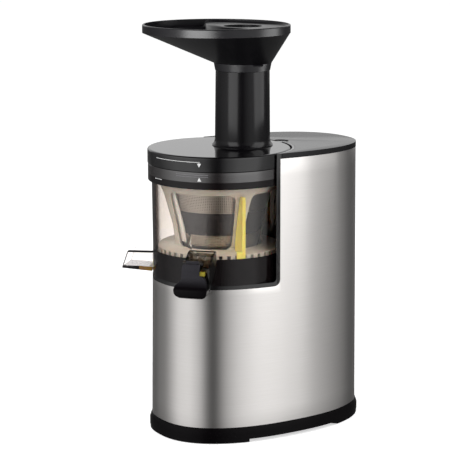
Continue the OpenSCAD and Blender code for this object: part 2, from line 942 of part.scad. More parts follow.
module screw() {
    color("#2c2a2b")
    difference() {
        union() {
            // Core that narrows upwards
            rotate_extrude($fn = round_fn)
                polygon([[0, drum_gear_top], [38, drum_gear_top], [41, 226], [41, 232], [34, thread_low],
                    [26, 250], [17, 280], [13, screw_top], [0, screw_top]]);
            // Two wings that carry the food down to the fine threads
            intersection() {
                translate([0, 0, thread_low])
                    linear_extrude(screw_top - thread_low, twist = 300, slices = 30, segments = 1)
                        for (a = [0, 180]) rotate(a) polygon([[4, -4], [62, -3], [62, 1], [4, 4]]);
                translate([0, 0, thread_low])
                    cylinder(h = screw_top - thread_low - 2, r1 = mesh_radius(thread_low) - 2,
                        r2 = mesh_radius(mesh_top) - 1.5, $fn = round_fn);
            }
        }
        // Hollow round the chimney and socket for the drive shaft
        rod(drum_gear_top - 1, chimney_top + 0.2, screw_hollow);
        translate([0, 0, 230]) cylinder(h = 28, r = hex_radius + 0.2, $fn = 6);
        rod(screw_top - 10, screw_top + 1, top_pin_radius);
    }
}

module screw_gear() {
    color("#b9b9bc")
    difference() {
        gear(drum_gear_z, drum_gear_top, screw_teeth, brush_module);
        rod(200, 240, screw_hollow);
    }
}

module screw_pin() {
    color("#d4d5d7")
    rod(screw_top - 10, 336, top_pin_radius);
}

// Turning brush: outline of its basket, radius and height, down the outer side and up the inner
basket = [[72.5, 308], [72.5, 304], [70, 300], [57, 253], [53.5, 234], [54.2, 231], [55.5, 229.8],
    [72.8, 229.4], [74, 228.4], [74, drum_gear_z], [66, drum_gear_z], [66, 226.4], [53, 226.8],
    [51, 229], [51.4, 234], [54.8, 254], [67.6, 300], [68, 308]];
basket_wall = 2.6;

// Radius of the basket's outer face at height z
function basket_radius(z) = z > 253 ? 57 + (z - 253) * 13 / 47 : 53.5 + (z - 234) * 3.5 / 19;

// Half of the angle that a window takes round the basket
window_half = 35;

// Window through the basket wall, with rounded corners
module basket_window() {
    corner = 6;
    low = 230;
    high = 299;
    side_low = basket_radius(low) * sin(window_half);
    side_high = (basket_radius(high) - basket_wall) * sin(window_half);
    rotate([90, 0, 90]) linear_extrude(90)
        union() {
            polygon([[-side_low + corner, low], [side_low - corner, low], [side_low, low + corner],
                [side_high, high - corner], [side_high - corner, high], [-side_high + corner, high],
                [-side_high, high - corner], [-side_low, low + corner]]);
            for (s = [-1, 1]) {
                translate([s * (side_low - corner), low + corner]) circle(r = corner, $fn = 32);
                translate([s * (side_high - corner), high - corner]) circle(r = corner, $fn = 32);
            }
        }
}

slot_count = 48;
slot_bottom = 225.2;
slot_top = 228;

module brush_carrier() {
    color([0.82, 0.78, 0.72, 0.8])
    difference() {
        union() {
            rotate_extrude($fn = round_fn) polygon(basket);
            // Toothed ring inside the foot of the basket
            difference() {
                rod(drum_gear_z, drum_gear_top, 67, round_fn);
                translate([0, 0, drum_gear_z - 1]) linear_extrude(drum_gear_height + 2)
                    gear_outline(brush_teeth, brush_module, brush_phase, -tooth_play, 1.25, 1);
            }
        }
        for (i = [0 : 3]) at_azimuth(post_azimuth + 45 + i * 90) basket_window();
        // Slots under the shoulder that let the juice out
        for (i = [0 : slot_count - 1]) rotate([0, 0, i * 360 / slot_count])
            block([64, -2.1, slot_bottom], [80, 2.1, slot_top]);
    }
}

module bowl_wipers() {
    color("#e3cf4a")
    for (i = [0, 2]) at_azimuth(wiper_azimuth + i * 90)
        side_plate([[basket_radius(297), 297], [76.5, 297], [77.1, 290], [76.9, 221], [74.8, 221],
            [74.8, 228.6], [72.9, 229.5], [55.6, 229.9], [basket_radius(236), 236],
            [basket_radius(253), 253]], -1.6, 1.6);
}

module strainer_wipers() {
    color("#e8e2d6")
    for (i = [1, 3]) at_azimuth(wiper_azimuth + i * 90)
        side_plate([[66.98, 298], [64.6, 298], [mesh_radius(254) + 1.8, 254], [mesh_radius(236) + 1.8, 236],
            [51.66, 236], [54.74, 254]], -1.5, 1.5);
}

module brush_pinion() {
    color("#e6e1d3")
    on_idler()
        difference() {
            gear(drum_gear_z + 0.2, drum_gear_top - 0.2, idler_teeth, brush_module,
                idler_phase - idler_azimuth + 90);
            rod(200, 240, idler_post + fit_gap);
        }
}

// ---- Lid and feed

collar_radius = 77.8;
lid_bush_radius = 6;
// Radius along the lid's upper edge
lid_edge = 2.4;

// Disc of the lid with its rounded upper edge
module lid_disc() {
    rotate_extrude($fn = round_fn)
        polygon(concat(
            [[0, ring_top + 0.4], [lid_radius, ring_top + 0.4]],
            [for (a = [0 : 22.5 : 90])
                [lid_radius - lid_edge * (1 - cos(a)), cover_top - lid_edge * (1 - sin(a))]],
            [[0, cover_top]]));
}

module lid() {
    color("#1b1a1c")
    difference() {
        union() {
            lid_disc();
            // Collar inside the bowl's ring, with the lugs that lock under it
            rod(ring_top - 12, ring_top + 1, collar_radius, round_fn);
            for (a = [0 : 90 : 359]) rotate([0, 0, a])
                intersection() {
                    rod(ring_top - 12, ring_top - 6, 81, round_fn);
                    side_wedge(15);
                }
        }
        difference() {
            rod(ring_top - 13, cover_top - 3.2, 75, round_fn);
            // Boss over the screw's pin
            rod(ring_top - 4, cover_top - 3, 8.5);
        }
        difference() {
            rod(ring_top - 0.5, cover_top - 3.2, lid_radius - 3, round_fn);
            rod(ring_top - 1, cover_top, collar_radius, round_fn);
        }
        rod(ring_top - 5, cover_top - 5, lid_bush_radius);
        translate([0, feed_back + 1, 0]) rod(300, 400, 26, round_fn);
    }
}

module lid_bush() {
    color("#c8c2b4")
    tube(ring_top - 4, cover_top - 5, lid_bush_radius, top_pin_radius + fit_gap);
}

module lid_gasket() {
    color("#dedad2")
    tube(ring_top - 15, ring_top - 12, 77.4, 75.4);
}

module lid_magnet() {
    color("#b4b6ba")
    translate([0, 80.4, 0]) rod(cover_top - 8.2, cover_top - 3.2, 2.5);
}

module feed_tube() {
    color("#1d1c1f")
    translate([0, feed_back, 0])
        rotate_extrude($fn = round_fn)
            polygon([
                [feed_radius + 4.3, cover_top], [feed_radius + 4.3, cover_top + 0.8],
                [feed_radius + 1.9, cover_top + 3.2], [feed_radius + 0.9, cover_top + 8],
                [feed_radius, feed_top], [feed_radius - 2.6, feed_top],
                [feed_radius - 2.6, cover_top + 22], [26.4, cover_top + 4], [26.4, cover_top]
            ]);
}

module tray_disc(z1, z2, y, radius) {
    translate([0, y, 0]) rod(z1, z2, radius, 64);
}

// Funnel shape of the tray, moved in by an inset
module tray_funnel(inset) {
    hull() {
        tray_disc(tray_top - rim_height, tray_top - rim_height + 1, tray_y, tray_radius - 2 - inset);
        tray_disc(neck_top + 1.2 * inset, neck_top + 1.2 * inset + 0.5, feed_back, neck_radius - inset);
    }
}

// Space inside the rim band up to height z
module rim_space(z) {
    translate([0, tray_y, 0]) rod(tray_top - rim_height, z, tray_radius - tray_wall, round_fn);
}

// Plan of the raised platform round the feed hole, moved in by an inset
module platform_plan(inset, z1, z2) {
    translate([0, platform_front + platform_arc, 0]) rod(z1, z2, platform_arc - inset, round_fn);
}

module feed_tray() {
    color("#1d1c1f") {
        tray_shell();
        // Spokes that hold the feed hole's wall in the neck
        for (a = [45 : 90 : 359]) translate([0, feed_back, 0]) rotate([0, 0, a])
            block([feed_hole + 1, -1, feed_top - 18], [feed_radius - 5, 1, neck_top]);
    }
}

module tray_shell() {
    difference() {
        union() {
            tray_funnel(0);
            // Rim band
            translate([0, tray_y, 0])
                rod(tray_top - rim_height, tray_top, tray_radius, round_fn);
            // Neck and the spigot that sits in the feed tube
            translate([0, feed_back, feed_top + 0.2])
                cylinder(h = neck_top - feed_top + 0.4, r1 = feed_radius + 0.6, r2 = neck_radius,
                    $fn = round_fn);
            translate([0, feed_back, 0])
                rod(feed_top - 22, feed_top + 1, feed_radius - 3, round_fn);
        }
        // Open tray in front of the platform
        difference() {
            union() {
                tray_funnel(tray_wall);
                rim_space(tray_top + 1);
            }
            platform_plan(0, 400, platform_top);
        }
        // Hollow under the platform
        difference() {
            intersection() {
                union() {
                    tray_funnel(tray_wall);
                    rim_space(platform_top);
                }
                platform_plan(tray_wall, 400, platform_top - tray_wall);
            }
            translate([0, feed_back, 0]) rod(400, tray_top, feed_hole + tray_wall, round_fn);
        }
        // Gap between the feed hole's wall and the neck
        translate([0, feed_back, 0])
            tube(feed_top - 23, neck_top + 6, feed_radius - 5.2, feed_hole + tray_wall);
        translate([0, feed_back, 0]) rod(400, tray_top + 1, feed_hole, round_fn);
    }
}

// ---- Spout cap

// Cap outlines, radius and height: the narrow front plate and the cup below the spout
cap_plate = [[114.6, 226.6], [118.5, 226], [121, 221], [120.4, 213], [114.6, 213]];
cap_cup = [[114.6, 213.8], [120.5, 213.8], [121.3, 208], [123, 204.5], [126.5, 201.5], [129, 198],
    [129.5, 193.5], [127, 188.5], [112, 187.1], [104, 188], [104, 191.5], [112, 190.5], [115.5, 194],
    [114.6, 198]];
cap_knuckle = 2.6;

// Sides of the plate and the cup, left and right of the spout's middle
plate_left = -14.6;
plate_right = 5.4;
cup_left = -22.2;
cup_right = 11.8;
cup_top = 213.8;
cup_bottom = 187.1;

// Corners of the cup seen from the front: side, height and radius
cup_corners = [
    [cup_left + 7.5, cup_bottom + 7.5, 7.5], [cup_right - 6, cup_bottom + 6, 6],
    [cup_right - 1.5, cup_top - 1.5, 1.5], [cup_left + 4, cup_top - 4, 4]
];

// Cup cut to its front outline
module cap_cup_body() {
    intersection() {
        side_plate(cap_cup, cup_left, cup_right);
        rotate([90, 0, 90]) linear_extrude(140)
            hull() for (c = cup_corners) translate([c[0], c[1]]) circle(r = c[2], $fn = small_fn);
    }
}

// Sides of the knuckle between the bowl's lugs
knuckle_left = -11.7;
knuckle_right = 3.4;

module spout_cap() {
    color("#16151a")
    at_azimuth(spout_azimuth)
        difference() {
            union() {
                side_plate(cap_plate, plate_left, plate_right);
                cap_cup_body();
                // Knuckle round the pin
                side_plate([[111, 229.2], [115, 229.2], [118.5, 226], [118.5, 220], [114.6, 220],
                    [113, 224.9]], knuckle_left, knuckle_right);
                on_cap_pin(knuckle_right)
                    cylinder(h = knuckle_right - knuckle_left, r = cap_knuckle, $fn = small_fn);
            }
            on_cap_pin(20) cylinder(h = 40, r = pin_radius + fit_gap, $fn = small_fn);
        }
}

module cap_seal() {
    color("#c9b92a")
    at_azimuth(spout_azimuth)
        block([115, plate_right + 0.2, cup_top], [119, cup_right - 0.5, cup_top + 4.4]);
}

// ---- Assembly

base_skirt();
bottom_plate();
rubber_feet();
base_screws();
steel_sleeve();
recess_frame();
drum_wall();
top_cover();
shaft_seal();
chassis();
gearbox_case();
gearbox_cover();
gearbox_screws();
axle_bushes();
motor_can();
motor_magnets();
motor_end_plate();
motor_bearings();
carbon_brushes();
control_board();
board_parts();
lid_sensor();
switch_housing();
switch_rocker();
cord_inlet();
motor_shaft();
rotor_core();
commutator();
cooling_fan();
first_gear();
first_axle();
second_gear();
second_axle();
output_gear();
drive_shaft();
bowl();
bowl_base();
bowl_ring();
bowl_seal();
pulp_plug();
pulp_spout();
cap_pin();
strainer_frame();
strainer_mesh();
screw();
screw_gear();
screw_pin();
brush_carrier();
bowl_wipers();
strainer_wipers();
brush_pinion();
lid();
lid_bush();
lid_gasket();
lid_magnet();
feed_tube();
feed_tray();
spout_cap();
cap_seal();
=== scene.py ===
import json
import math
import bmesh
import bpy
from mathutils import Matrix, Vector

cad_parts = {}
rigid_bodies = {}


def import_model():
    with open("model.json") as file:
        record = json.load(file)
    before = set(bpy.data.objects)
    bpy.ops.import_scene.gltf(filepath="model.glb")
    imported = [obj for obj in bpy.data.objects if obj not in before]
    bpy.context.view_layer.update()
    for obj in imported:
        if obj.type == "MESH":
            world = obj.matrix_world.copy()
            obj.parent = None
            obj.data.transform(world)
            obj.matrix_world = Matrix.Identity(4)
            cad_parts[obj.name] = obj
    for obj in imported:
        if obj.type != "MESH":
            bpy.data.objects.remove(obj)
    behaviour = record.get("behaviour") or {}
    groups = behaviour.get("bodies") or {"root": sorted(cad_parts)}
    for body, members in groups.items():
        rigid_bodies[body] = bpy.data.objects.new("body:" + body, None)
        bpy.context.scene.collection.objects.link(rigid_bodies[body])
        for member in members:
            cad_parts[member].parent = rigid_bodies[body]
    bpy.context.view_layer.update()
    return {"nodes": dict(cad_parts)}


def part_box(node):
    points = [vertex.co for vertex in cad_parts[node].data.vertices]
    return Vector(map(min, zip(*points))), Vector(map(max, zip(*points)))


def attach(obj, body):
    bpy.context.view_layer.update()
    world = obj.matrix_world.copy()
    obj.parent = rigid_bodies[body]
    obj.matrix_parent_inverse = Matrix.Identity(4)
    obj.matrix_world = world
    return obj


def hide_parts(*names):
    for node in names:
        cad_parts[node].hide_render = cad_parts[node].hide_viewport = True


for leftover in list(bpy.data.objects):  # a new file's own cube, lamp and camera
    bpy.data.objects.remove(leftover)
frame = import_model()
nodes = frame["nodes"]
scene = bpy.context.scene
print("frame loaded:", len(nodes), "nodes")


# Units and colours

millimetre = 0.001


def toLinear(hexCode, alpha=1.0):  # sRGB hex to the linear values that shaders take
    channels = [int(hexCode[i:i + 2], 16) / 255 for i in (1, 3, 5)]
    return [c / 12.92 if c <= 0.04045 else ((c + 0.055) / 1.055) ** 2.4 for c in channels] + [alpha]


def lowHigh(node):  # a CAD node's corners, in millimetres
    low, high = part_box(node)
    return low / millimetre, high / millimetre


def compass(azimuth, radius=1.0):  # a point round the drum, with 0 at the front and 90 on the right
    a = math.radians(azimuth)
    return Vector((radius * math.sin(a), -radius * math.cos(a), 0))


def turnTo(azimuth):  # turns +X outwards at an azimuth
    return Matrix.Rotation(math.radians(azimuth - 90), 4, "Z")


# Materials

texture = {
    "noise": (0.3, 0.7),  # most of a noise's values lie between these
    "detail": 3.0, "contrast": 0.55, "cloud": 60, "cloudDetail": 2.0, "bumpStrength": 0.3,
    "steep": (0.57, 0.68),  # how far edge on a clear wall is seen where its colour darkens as painted shade
}


def addNode(tree, kind, settings):
    # settings go by a socket's name or number or by a property's name, and another node's output makes a link
    node = tree.nodes.new("ShaderNode" + kind)
    for name, value in settings.items():
        if isinstance(value, bpy.types.NodeSocket):
            tree.links.new(value, node.inputs[name])
        elif isinstance(name, int) or name in node.inputs:
            node.inputs[name].default_value = value
        else:
            setattr(node, name, value)
    return node


def remap(tree, value, start, end, low=0.0, high=1.0):  # takes a value from one range to another
    settings = {"Value": value, "From Min": start, "From Max": end, "To Min": low, "To Max": high}
    return addNode(tree, "MapRange", settings).outputs["Result"]


def blendColours(tree, factor, first, second):  # sockets 6 and 7 are the two colours, and output 2 the blend
    settings = {"data_type": "RGBA", "Factor": factor, 6: first, 7: second}
    return addNode(tree, "Mix", settings).outputs[2]


def mixShaders(tree, factor, first, second):
    return addNode(tree, "MixShader", {"Fac": factor, 1: first, 2: second}).outputs[0]


def addRamp(tree, value, stops):  # stops: position and linear colour
    ramp = addNode(tree, "ValToRGB", {"Fac": value})
    elements = ramp.color_ramp.elements
    while len(elements) > 1:
        elements.remove(elements[-1])
    elements[0].position, elements[0].color = stops[0]
    for position, colour in stops[1:]:
        elements.new(position).color = colour
    return ramp.outputs["Color"]


def emptyTree(owner):  # of a material or the world
    owner.use_nodes = True
    owner.node_tree.nodes.clear()
    return owner.node_tree


def finishMaterial(name, look):
    # look: deep and pale colours, rough range, bump and grain in mm, the same every way or along X, Y and Z,
    # and, with capitals, the shader's own sockets
    material = bpy.data.materials.new(name)
    tree = emptyTree(material)
    place = addNode(tree, "TexCoord", {}).outputs["Object"]
    sizes = look["grain"] if isinstance(look["grain"], tuple) else (look["grain"],) * 3
    scale = [1 / (size * millimetre) for size in sizes]
    mapping = addNode(tree, "Mapping", {"Vector": place, "Scale": scale})
    grain = addNode(tree, "TexNoise", {
        "Vector": mapping.outputs["Vector"], "Scale": 1.0, "Detail": texture["detail"],
        "Roughness": texture["contrast"]}).outputs["Fac"]
    cloud = addNode(tree, "TexNoise", {
        "Vector": place, "Scale": 1 / (texture["cloud"] * millimetre), "Detail": texture["cloudDetail"]})
    bump = addNode(tree, "Bump", {
        "Height": grain, "Strength": texture["bumpStrength"], "Distance": look["bump"] * millimetre})
    first, last = texture["noise"]
    colour = addRamp(tree, grain, [(first, toLinear(look["deep"])), (last, toLinear(look["pale"]))])
    if "fade" in look:  # another tone below a height, reached softly: the paler tone above it is a painted sheen
        low, high, tone = look["fade"]
        axes = addNode(tree, "SeparateXYZ", {"Vector": place})
        fall = remap(tree, axes.outputs["Z"], low * millimetre, high * millimetre)
        colour = blendColours(tree, fall, toLinear(tone), colour)
    if "edge" in look:  # painted shade: clear plastic's colour darkens where the wall is seen edge on
        facing = addNode(tree, "LayerWeight", {"Blend": 0.5})
        steep = remap(tree, facing.outputs["Facing"], *texture["steep"])
        colour = blendColours(tree, steep, colour, toLinear(look["edge"]))
    settings = {name: value for name, value in look.items() if name[0].isupper()}
    settings.update({"Base Color": colour, "Normal": bump.outputs["Normal"],
                     "Roughness": remap(tree, cloud.outputs["Fac"], first, last, *look["rough"])})
    if "Anisotropic" in look:
        around = addNode(tree, "Tangent", {"direction_type": "RADIAL", "axis": "Z"})
        settings["Tangent"] = around.outputs["Tangent"]
    surface = addNode(tree, "BsdfPrincipled", settings).outputs["BSDF"]
    if "seeThrough" in look:  # lets the lamps' light in
        rays = addNode(tree, "LightPath", {})
        clear = addNode(tree, "BsdfTransparent", {"Color": toLinear(look["seeThrough"])})
        surface = mixShaders(tree, rays.outputs["Is Shadow Ray"], surface, clear.outputs["BSDF"])
    addNode(tree, "OutputMaterial", {"Surface": surface})
    return material


looks = {
    # Stainless sheet, brushed round the body: light spreads up and down and stays sharp sideways
    "brushedStainless": {
        "deep": "#dedbd8", "pale": "#e4e1df", "grain": (45, 45, 0.35), "bump": 0.0015, "rough": (0.30, 0.33),
        "Metallic": 1.0, "Anisotropic": 0.85, "Anisotropic Rotation": 0.25},
    # ABS from a polished tool: near black, with sharp reflections
    "polishedAbs": {
        "deep": "#060507", "pale": "#09080a", "grain": 9, "bump": 0.003, "rough": (0.05, 0.09),
        "IOR": 1.5, "Specular IOR Level": 0.85},
    # The same ABS, polished less finely: reflections blur a little
    "semiGlossAbs": {
        "deep": "#070608", "pale": "#0a090b", "grain": 5, "bump": 0.004, "rough": (0.19, 0.24),
        "IOR": 1.5, "Specular IOR Level": 0.4},
    # Polypropylene of the skirt: deep black, dull reflections
    "blackPolypropylene": {
        "deep": "#040304", "pale": "#080608", "grain": 2.5, "bump": 0.005, "rough": (0.18, 0.25),
        "IOR": 1.49, "Specular IOR Level": 0.08},
    # Polypropylene of the spout's cap: a painted sheen makes the plate paler than the cup below, which keeps
    # the dark tone
    "sheenPaintedPolypropylene": {
        "deep": "#2b2a2e", "pale": "#302f33", "grain": 1.2, "bump": 0.005, "rough": (0.2, 0.27),
        "fade": (201, 212, "#070507"), "IOR": 1.49, "Specular IOR Level": 0.1},
    # The feed tube's ABS, from a blasted tool: only strong lights show on it
    "blastedAbs": {
        "deep": "#070608", "pale": "#0a090b", "grain": 3, "bump": 0.004, "rough": (0.18, 0.22),
        "IOR": 1.5, "Specular IOR Level": 0.2},
    # ABS from a spark-eroded tool: soft broad highlights
    "satinAbs": {
        "deep": "#08070a", "pale": "#0c0b0e", "grain": 0.7, "bump": 0.006, "rough": (0.29, 0.34),
        "IOR": 1.5, "Specular IOR Level": 0.36},
    # Smoked copolyester in a thick section: dark brown-black, glossy
    "smokedCopolyester": {
        "deep": "#0c0809", "pale": "#130e0f", "grain": 12, "bump": 0.003, "rough": (0.06, 0.10),
        "IOR": 1.55, "Specular IOR Level": 0.27},
    # A lighter, more reflective copy of the smoked copolyester for the ring's upper band: a painted sheen
    "paintedSheenCopolyester": {
        "deep": "#151011", "pale": "#1c1718", "grain": 12, "bump": 0.003, "rough": (0.08, 0.12),
        "IOR": 1.75, "Specular IOR Level": 1.0},
    # Clear copolyester: see-through with a faint warm smoke, and painted shade where the wall is seen edge on
    "clearCopolyester": {
        "deep": "#f6f0ec", "pale": "#faf5f1", "grain": 25, "bump": 0.002, "rough": (0.01, 0.03),
        "seeThrough": "#f4efec", "edge": "#41342f", "IOR": 1.55, "Transmission Weight": 1.0},
    # Clear styrene of the trough: thin walls bend the light little; painted grey shade where the wall is seen
    # edge on
    "clearStyrene": {
        "deep": "#faf7f5", "pale": "#fdfbfa", "grain": 25, "bump": 0.002, "rough": (0.01, 0.03),
        "seeThrough": "#f4efec", "edge": "#d8d4d6", "IOR": 1.2, "Transmission Weight": 1.0},
    # Painted shade: the grey that the trough's styrene shows through its cut end
    "styreneEndShade": {
        "deep": "#8f8b8e", "pale": "#a19da0", "grain": 8, "bump": 0.002, "rough": (0.1, 0.15),
        "IOR": 1.59},
    # Clear copolyester in the spout's thicker walls: brown, with painted dark shade where the wall is seen
    # edge on
    "brownCopolyester": {
        "deep": "#665a4c", "pale": "#766958", "grain": 8, "bump": 0.002, "rough": (0.02, 0.05),
        "seeThrough": "#7a6a58", "edge": "#120d0a", "IOR": 1.55, "Transmission Weight": 1.0},
    # The same copolyester, opaque and painted amber for the glow of light through its thick section
    "amberGlowCopolyester": {
        "deep": "#6a3c18", "pale": "#8a6a1c", "grain": 9, "bump": 0.002, "rough": (0.05, 0.09),
        "IOR": 1.55},
    # Polyetherimide: translucent warm beige
    "beigePolyetherimide": {
        "deep": "#c9c3b4", "pale": "#d3cdbf", "grain": 6, "bump": 0.004, "rough": (0.16, 0.22),
        "IOR": 1.6, "Subsurface Weight": 0.25, "Subsurface Scale": 0.004},
    # Silicone rubber: soft satin yellow
    "yellowSilicone": {
        "deep": "#f1de50", "pale": "#f7e76a", "grain": 3, "bump": 0.01, "rough": (0.34, 0.44),
        "IOR": 1.42, "Subsurface Weight": 0.5, "Subsurface Scale": 0.006},
    # The cap's seal is the same rubber in an olive tone
    "oliveSilicone": {
        "deep": "#857a18", "pale": "#968a24", "grain": 3, "bump": 0.01, "rough": (0.38, 0.48),
        "IOR": 1.42},
    # Uncoloured silicone rubber: milky satin
    "milkySilicone": {
        "deep": "#ece8e0", "pale": "#f5f1ea", "grain": 3, "bump": 0.01, "rough": (0.3, 0.4),
        "IOR": 1.42, "Subsurface Weight": 0.2, "Subsurface Scale": 0.003},
    # Stainless foil with etched slots: bright between the dark openings
    "etchedStainless": {
        "deep": "#cfc6ba", "pale": "#ddd5ca", "grain": 2, "bump": 0.004, "rough": (0.28, 0.36),
        "Metallic": 1.0},
    # Polyetherimide filled black, moulded satin
    "darkPolyetherimide": {
        "deep": "#1a1616", "pale": "#241f1e", "grain": 4, "bump": 0.004, "rough": (0.14, 0.2),
        "IOR": 1.6},
    # Steel turned on a lathe: fine rings, bright
    "turnedSteel": {
        "deep": "#a9a9ad", "pale": "#c2c2c6", "grain": (8, 8, 0.3), "bump": 0.004, "rough": (0.22, 0.32),
        "Metallic": 1.0},
    # Acetal moulded gears: ivory, waxy
    "mouldedAcetal": {
        "deep": "#d3cdbb", "pale": "#e0dac9", "grain": 5, "bump": 0.008, "rough": (0.32, 0.42),
        "IOR": 1.48},
    # Nitrile rubber: flat black
    "mouldedRubber": {
        "deep": "#101010", "pale": "#181818", "grain": 0.8, "bump": 0.03, "rough": (0.6, 0.75),
        "IOR": 1.5},
    # Glass-filled nylon: dull grey-black with a fine grain
    "filledNylon": {
        "deep": "#28282a", "pale": "#343436", "grain": 1.2, "bump": 0.03, "rough": (0.5, 0.62),
        "IOR": 1.53},
    # Sintered bronze bushes: brown-gold, slightly porous
    "sinteredBronze": {
        "deep": "#8a6436", "pale": "#a97f4a", "grain": 0.6, "bump": 0.02, "rough": (0.35, 0.5),
        "Metallic": 1.0},
    # Drawn copper segments
    "drawnCopper": {
        "deep": "#a8613c", "pale": "#c87d54", "grain": (2, 2, 0.4), "bump": 0.01, "rough": (0.25, 0.38),
        "Metallic": 1.0},
    # Zinc plated can of the motor: cool grey with soft clouding
    "zincPlate": {
        "deep": "#84878c", "pale": "#a3a6ab", "grain": 4, "bump": 0.01, "rough": (0.3, 0.45),
        "Metallic": 1.0},
    # Varnished copper winding: dark amber, wet shine
    "varnishedWinding": {
        "deep": "#5c3216", "pale": "#8a5326", "grain": (0.6, 0.6, 3), "bump": 0.08, "rough": (0.2, 0.3),
        "IOR": 1.5, "Coat Weight": 0.5},
    # Sintered ferrite magnets: charcoal, ground
    "groundFerrite": {
        "deep": "#2e2e31", "pale": "#3d3d41", "grain": 1, "bump": 0.02, "rough": (0.5, 0.62),
        "IOR": 1.8},
    # Pressed carbon
    "pressedCarbon": {
        "deep": "#1e1e1f", "pale": "#2a2a2b", "grain": 0.7, "bump": 0.02, "rough": (0.5, 0.6),
        "IOR": 1.6},
    # Fibreglass board with green solder mask
    "solderMask": {
        "deep": "#1f5a3a", "pale": "#2a6e48", "grain": (3, 3, 0.8), "bump": 0.01, "rough": (0.25, 0.35),
        "IOR": 1.55},
    # Pad-printed ink: flat white, thin
    "printedInk": {
        "deep": "#dcdcdc", "pale": "#ececec", "grain": 0.8, "bump": 0.003, "rough": (0.45, 0.55),
        "IOR": 1.5},
    # The same ink printed thinly: grey over the dark plastic
    "thinInk": {
        "deep": "#747276", "pale": "#88868a", "grain": 0.8, "bump": 0.003, "rough": (0.45, 0.55),
        "IOR": 1.5},
}
materials = {name: finishMaterial(name, look) for name, look in looks.items()}
print("materials made")


# Mesh helpers: every outline is drawn in millimetres

def partsOf(geometry, kind):
    return [item for item in geometry if isinstance(item, kind)]


def oblong(near, far, low, high):  # the outline of a rectangle
    return [(near, low), (far, low), (far, high), (near, high)]


def lathe(outline, steps=144, centre=(0, 0), arc=360, start=0):  # outline: radius and height, closed
    bm = bmesh.new()
    ring = [bm.verts.new((radius, 0, height)) for radius, height in outline]
    edges = [bm.edges.new((a, b)) for a, b in zip(ring, ring[1:] + ring[:1])]
    if arc < 360:
        bm.faces.new(ring)
    bmesh.ops.rotate(bm, verts=bm.verts, matrix=Matrix.Rotation(math.radians(start), 3, "Z"))
    geometry = bm.verts[:] + edges + bm.faces[:]
    bmesh.ops.spin(bm, geom=geometry, cent=(0, 0, 0), axis=(0, 0, 1), angle=math.radians(arc),
                   steps=steps, use_merge=arc == 360)
    bmesh.ops.remove_doubles(bm, verts=bm.verts, dist=1e-4)
    bmesh.ops.translate(bm, verts=bm.verts, vec=(centre[0], centre[1], 0))
    bmesh.ops.recalc_face_normals(bm, faces=bm.faces)
    return bm


def roundEdges(bm, radius, segments=3, angle=30, where=None):  # where: a test of an edge's two ends
    limit = math.radians(angle)
    edges = [e for e in bm.edges if e.is_manifold and e.calc_face_angle(0) > limit
             and (where is None or where(*[v.co for v in e.verts]))]
    if edges:
        bmesh.ops.bevel(bm, geom=edges, offset=radius, offset_type="OFFSET", segments=segments, profile=0.5,
                        affect="EDGES", material=-1, clamp_overlap=True)
    return bm


def thicken(bm, along, azimuth):  # a flat face becomes a plate and turns to an azimuth
    made = bmesh.ops.extrude_face_region(bm, geom=bm.faces[:])["geom"]
    bmesh.ops.translate(bm, verts=partsOf(made, bmesh.types.BMVert), vec=along)
    bmesh.ops.recalc_face_normals(bm, faces=bm.faces)
    bmesh.ops.transform(bm, matrix=turnTo(azimuth), verts=bm.verts)
    return bm


def sidePlate(outline, near, far, azimuth=90, corners=None):
    # outline: radius and height, spread sideways from near to far; corners: a corner's number and its radius
    bm = bmesh.new()
    ring = [bm.verts.new((radius, near, height)) for radius, height in outline]
    bm.faces.new(ring)
    for index, radius in (corners or {}).items():
        bmesh.ops.bevel(bm, geom=[ring[index]], offset=radius, offset_type="OFFSET", segments=6, profile=0.5,
                        affect="VERTICES", material=-1)
    return thicken(bm, (0, far - near, 0), azimuth)


def rod(radius, length, matrix, segments):  # a cylinder about its own middle
    bm = bmesh.new()
    bmesh.ops.create_cone(bm, segments=segments, radius1=radius, radius2=radius, depth=length, cap_ends=True,
                          matrix=matrix)
    return bm


def cylinder(radius, low, high, centre=(0, 0), segments=96):
    return rod(radius, high - low, Matrix.Translation((*centre, (low + high) / 2)), segments)


lyingDown = Matrix.Rotation(math.radians(90), 4, "X")  # turns a rod along Y


def toMesh(name, bm):
    mesh = bpy.data.meshes.new(name)
    bm.to_mesh(mesh)
    bm.free()
    return mesh


def addObject(name, data):
    item = bpy.data.objects.new(name, data)
    scene.collection.objects.link(item)
    return item


def combine(bm, tool, operation="DIFFERENCE"):
    item, knife = [addObject("temp", toMesh("temp", part)) for part in (bm, tool)]
    change = item.modifiers.new("change", "BOOLEAN")
    change.object, change.operation, change.solver = knife, operation, "EXACT"
    result = bmesh.new()
    result.from_object(item, bpy.context.evaluated_depsgraph_get())
    for used in (item, knife):
        mesh = used.data
        bpy.data.objects.remove(used)
        bpy.data.meshes.remove(mesh)
    bmesh.ops.remove_doubles(result, verts=result.verts, dist=1e-4)
    return result


def gather(parts):  # several shapes as one mesh
    whole = bmesh.new()
    for part in parts:
        mesh = toMesh("temp", part)
        whole.from_mesh(mesh)
        bpy.data.meshes.remove(mesh)
    return whole


def addPiece(name, bm, material, body, replaced=(), smoothAngle=32):
    bmesh.ops.scale(bm, vec=(millimetre,) * 3, verts=bm.verts)
    mesh = toMesh(name, bm)
    mesh.materials.append(materials[material])
    for face in mesh.polygons:
        face.use_smooth = True
    mesh.set_sharp_from_angle(angle=math.radians(smoothAngle))
    piece = addObject(name, mesh)
    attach(piece, body)
    if replaced:
        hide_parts(*replaced)
    return piece


def smoothCopy(node):  # a CAD node's shape as one joined mesh, in millimetres, with its flat faces whole
    bm = bmesh.new()
    bm.from_mesh(nodes[node].data)
    bmesh.ops.scale(bm, vec=(1 / millimetre,) * 3, verts=bm.verts)
    bmesh.ops.remove_doubles(bm, verts=bm.verts, dist=2e-3)
    bmesh.ops.dissolve_limit(bm, angle_limit=math.radians(0.2), verts=bm.verts, edges=bm.edges)
    return bm


# The body's oval plan

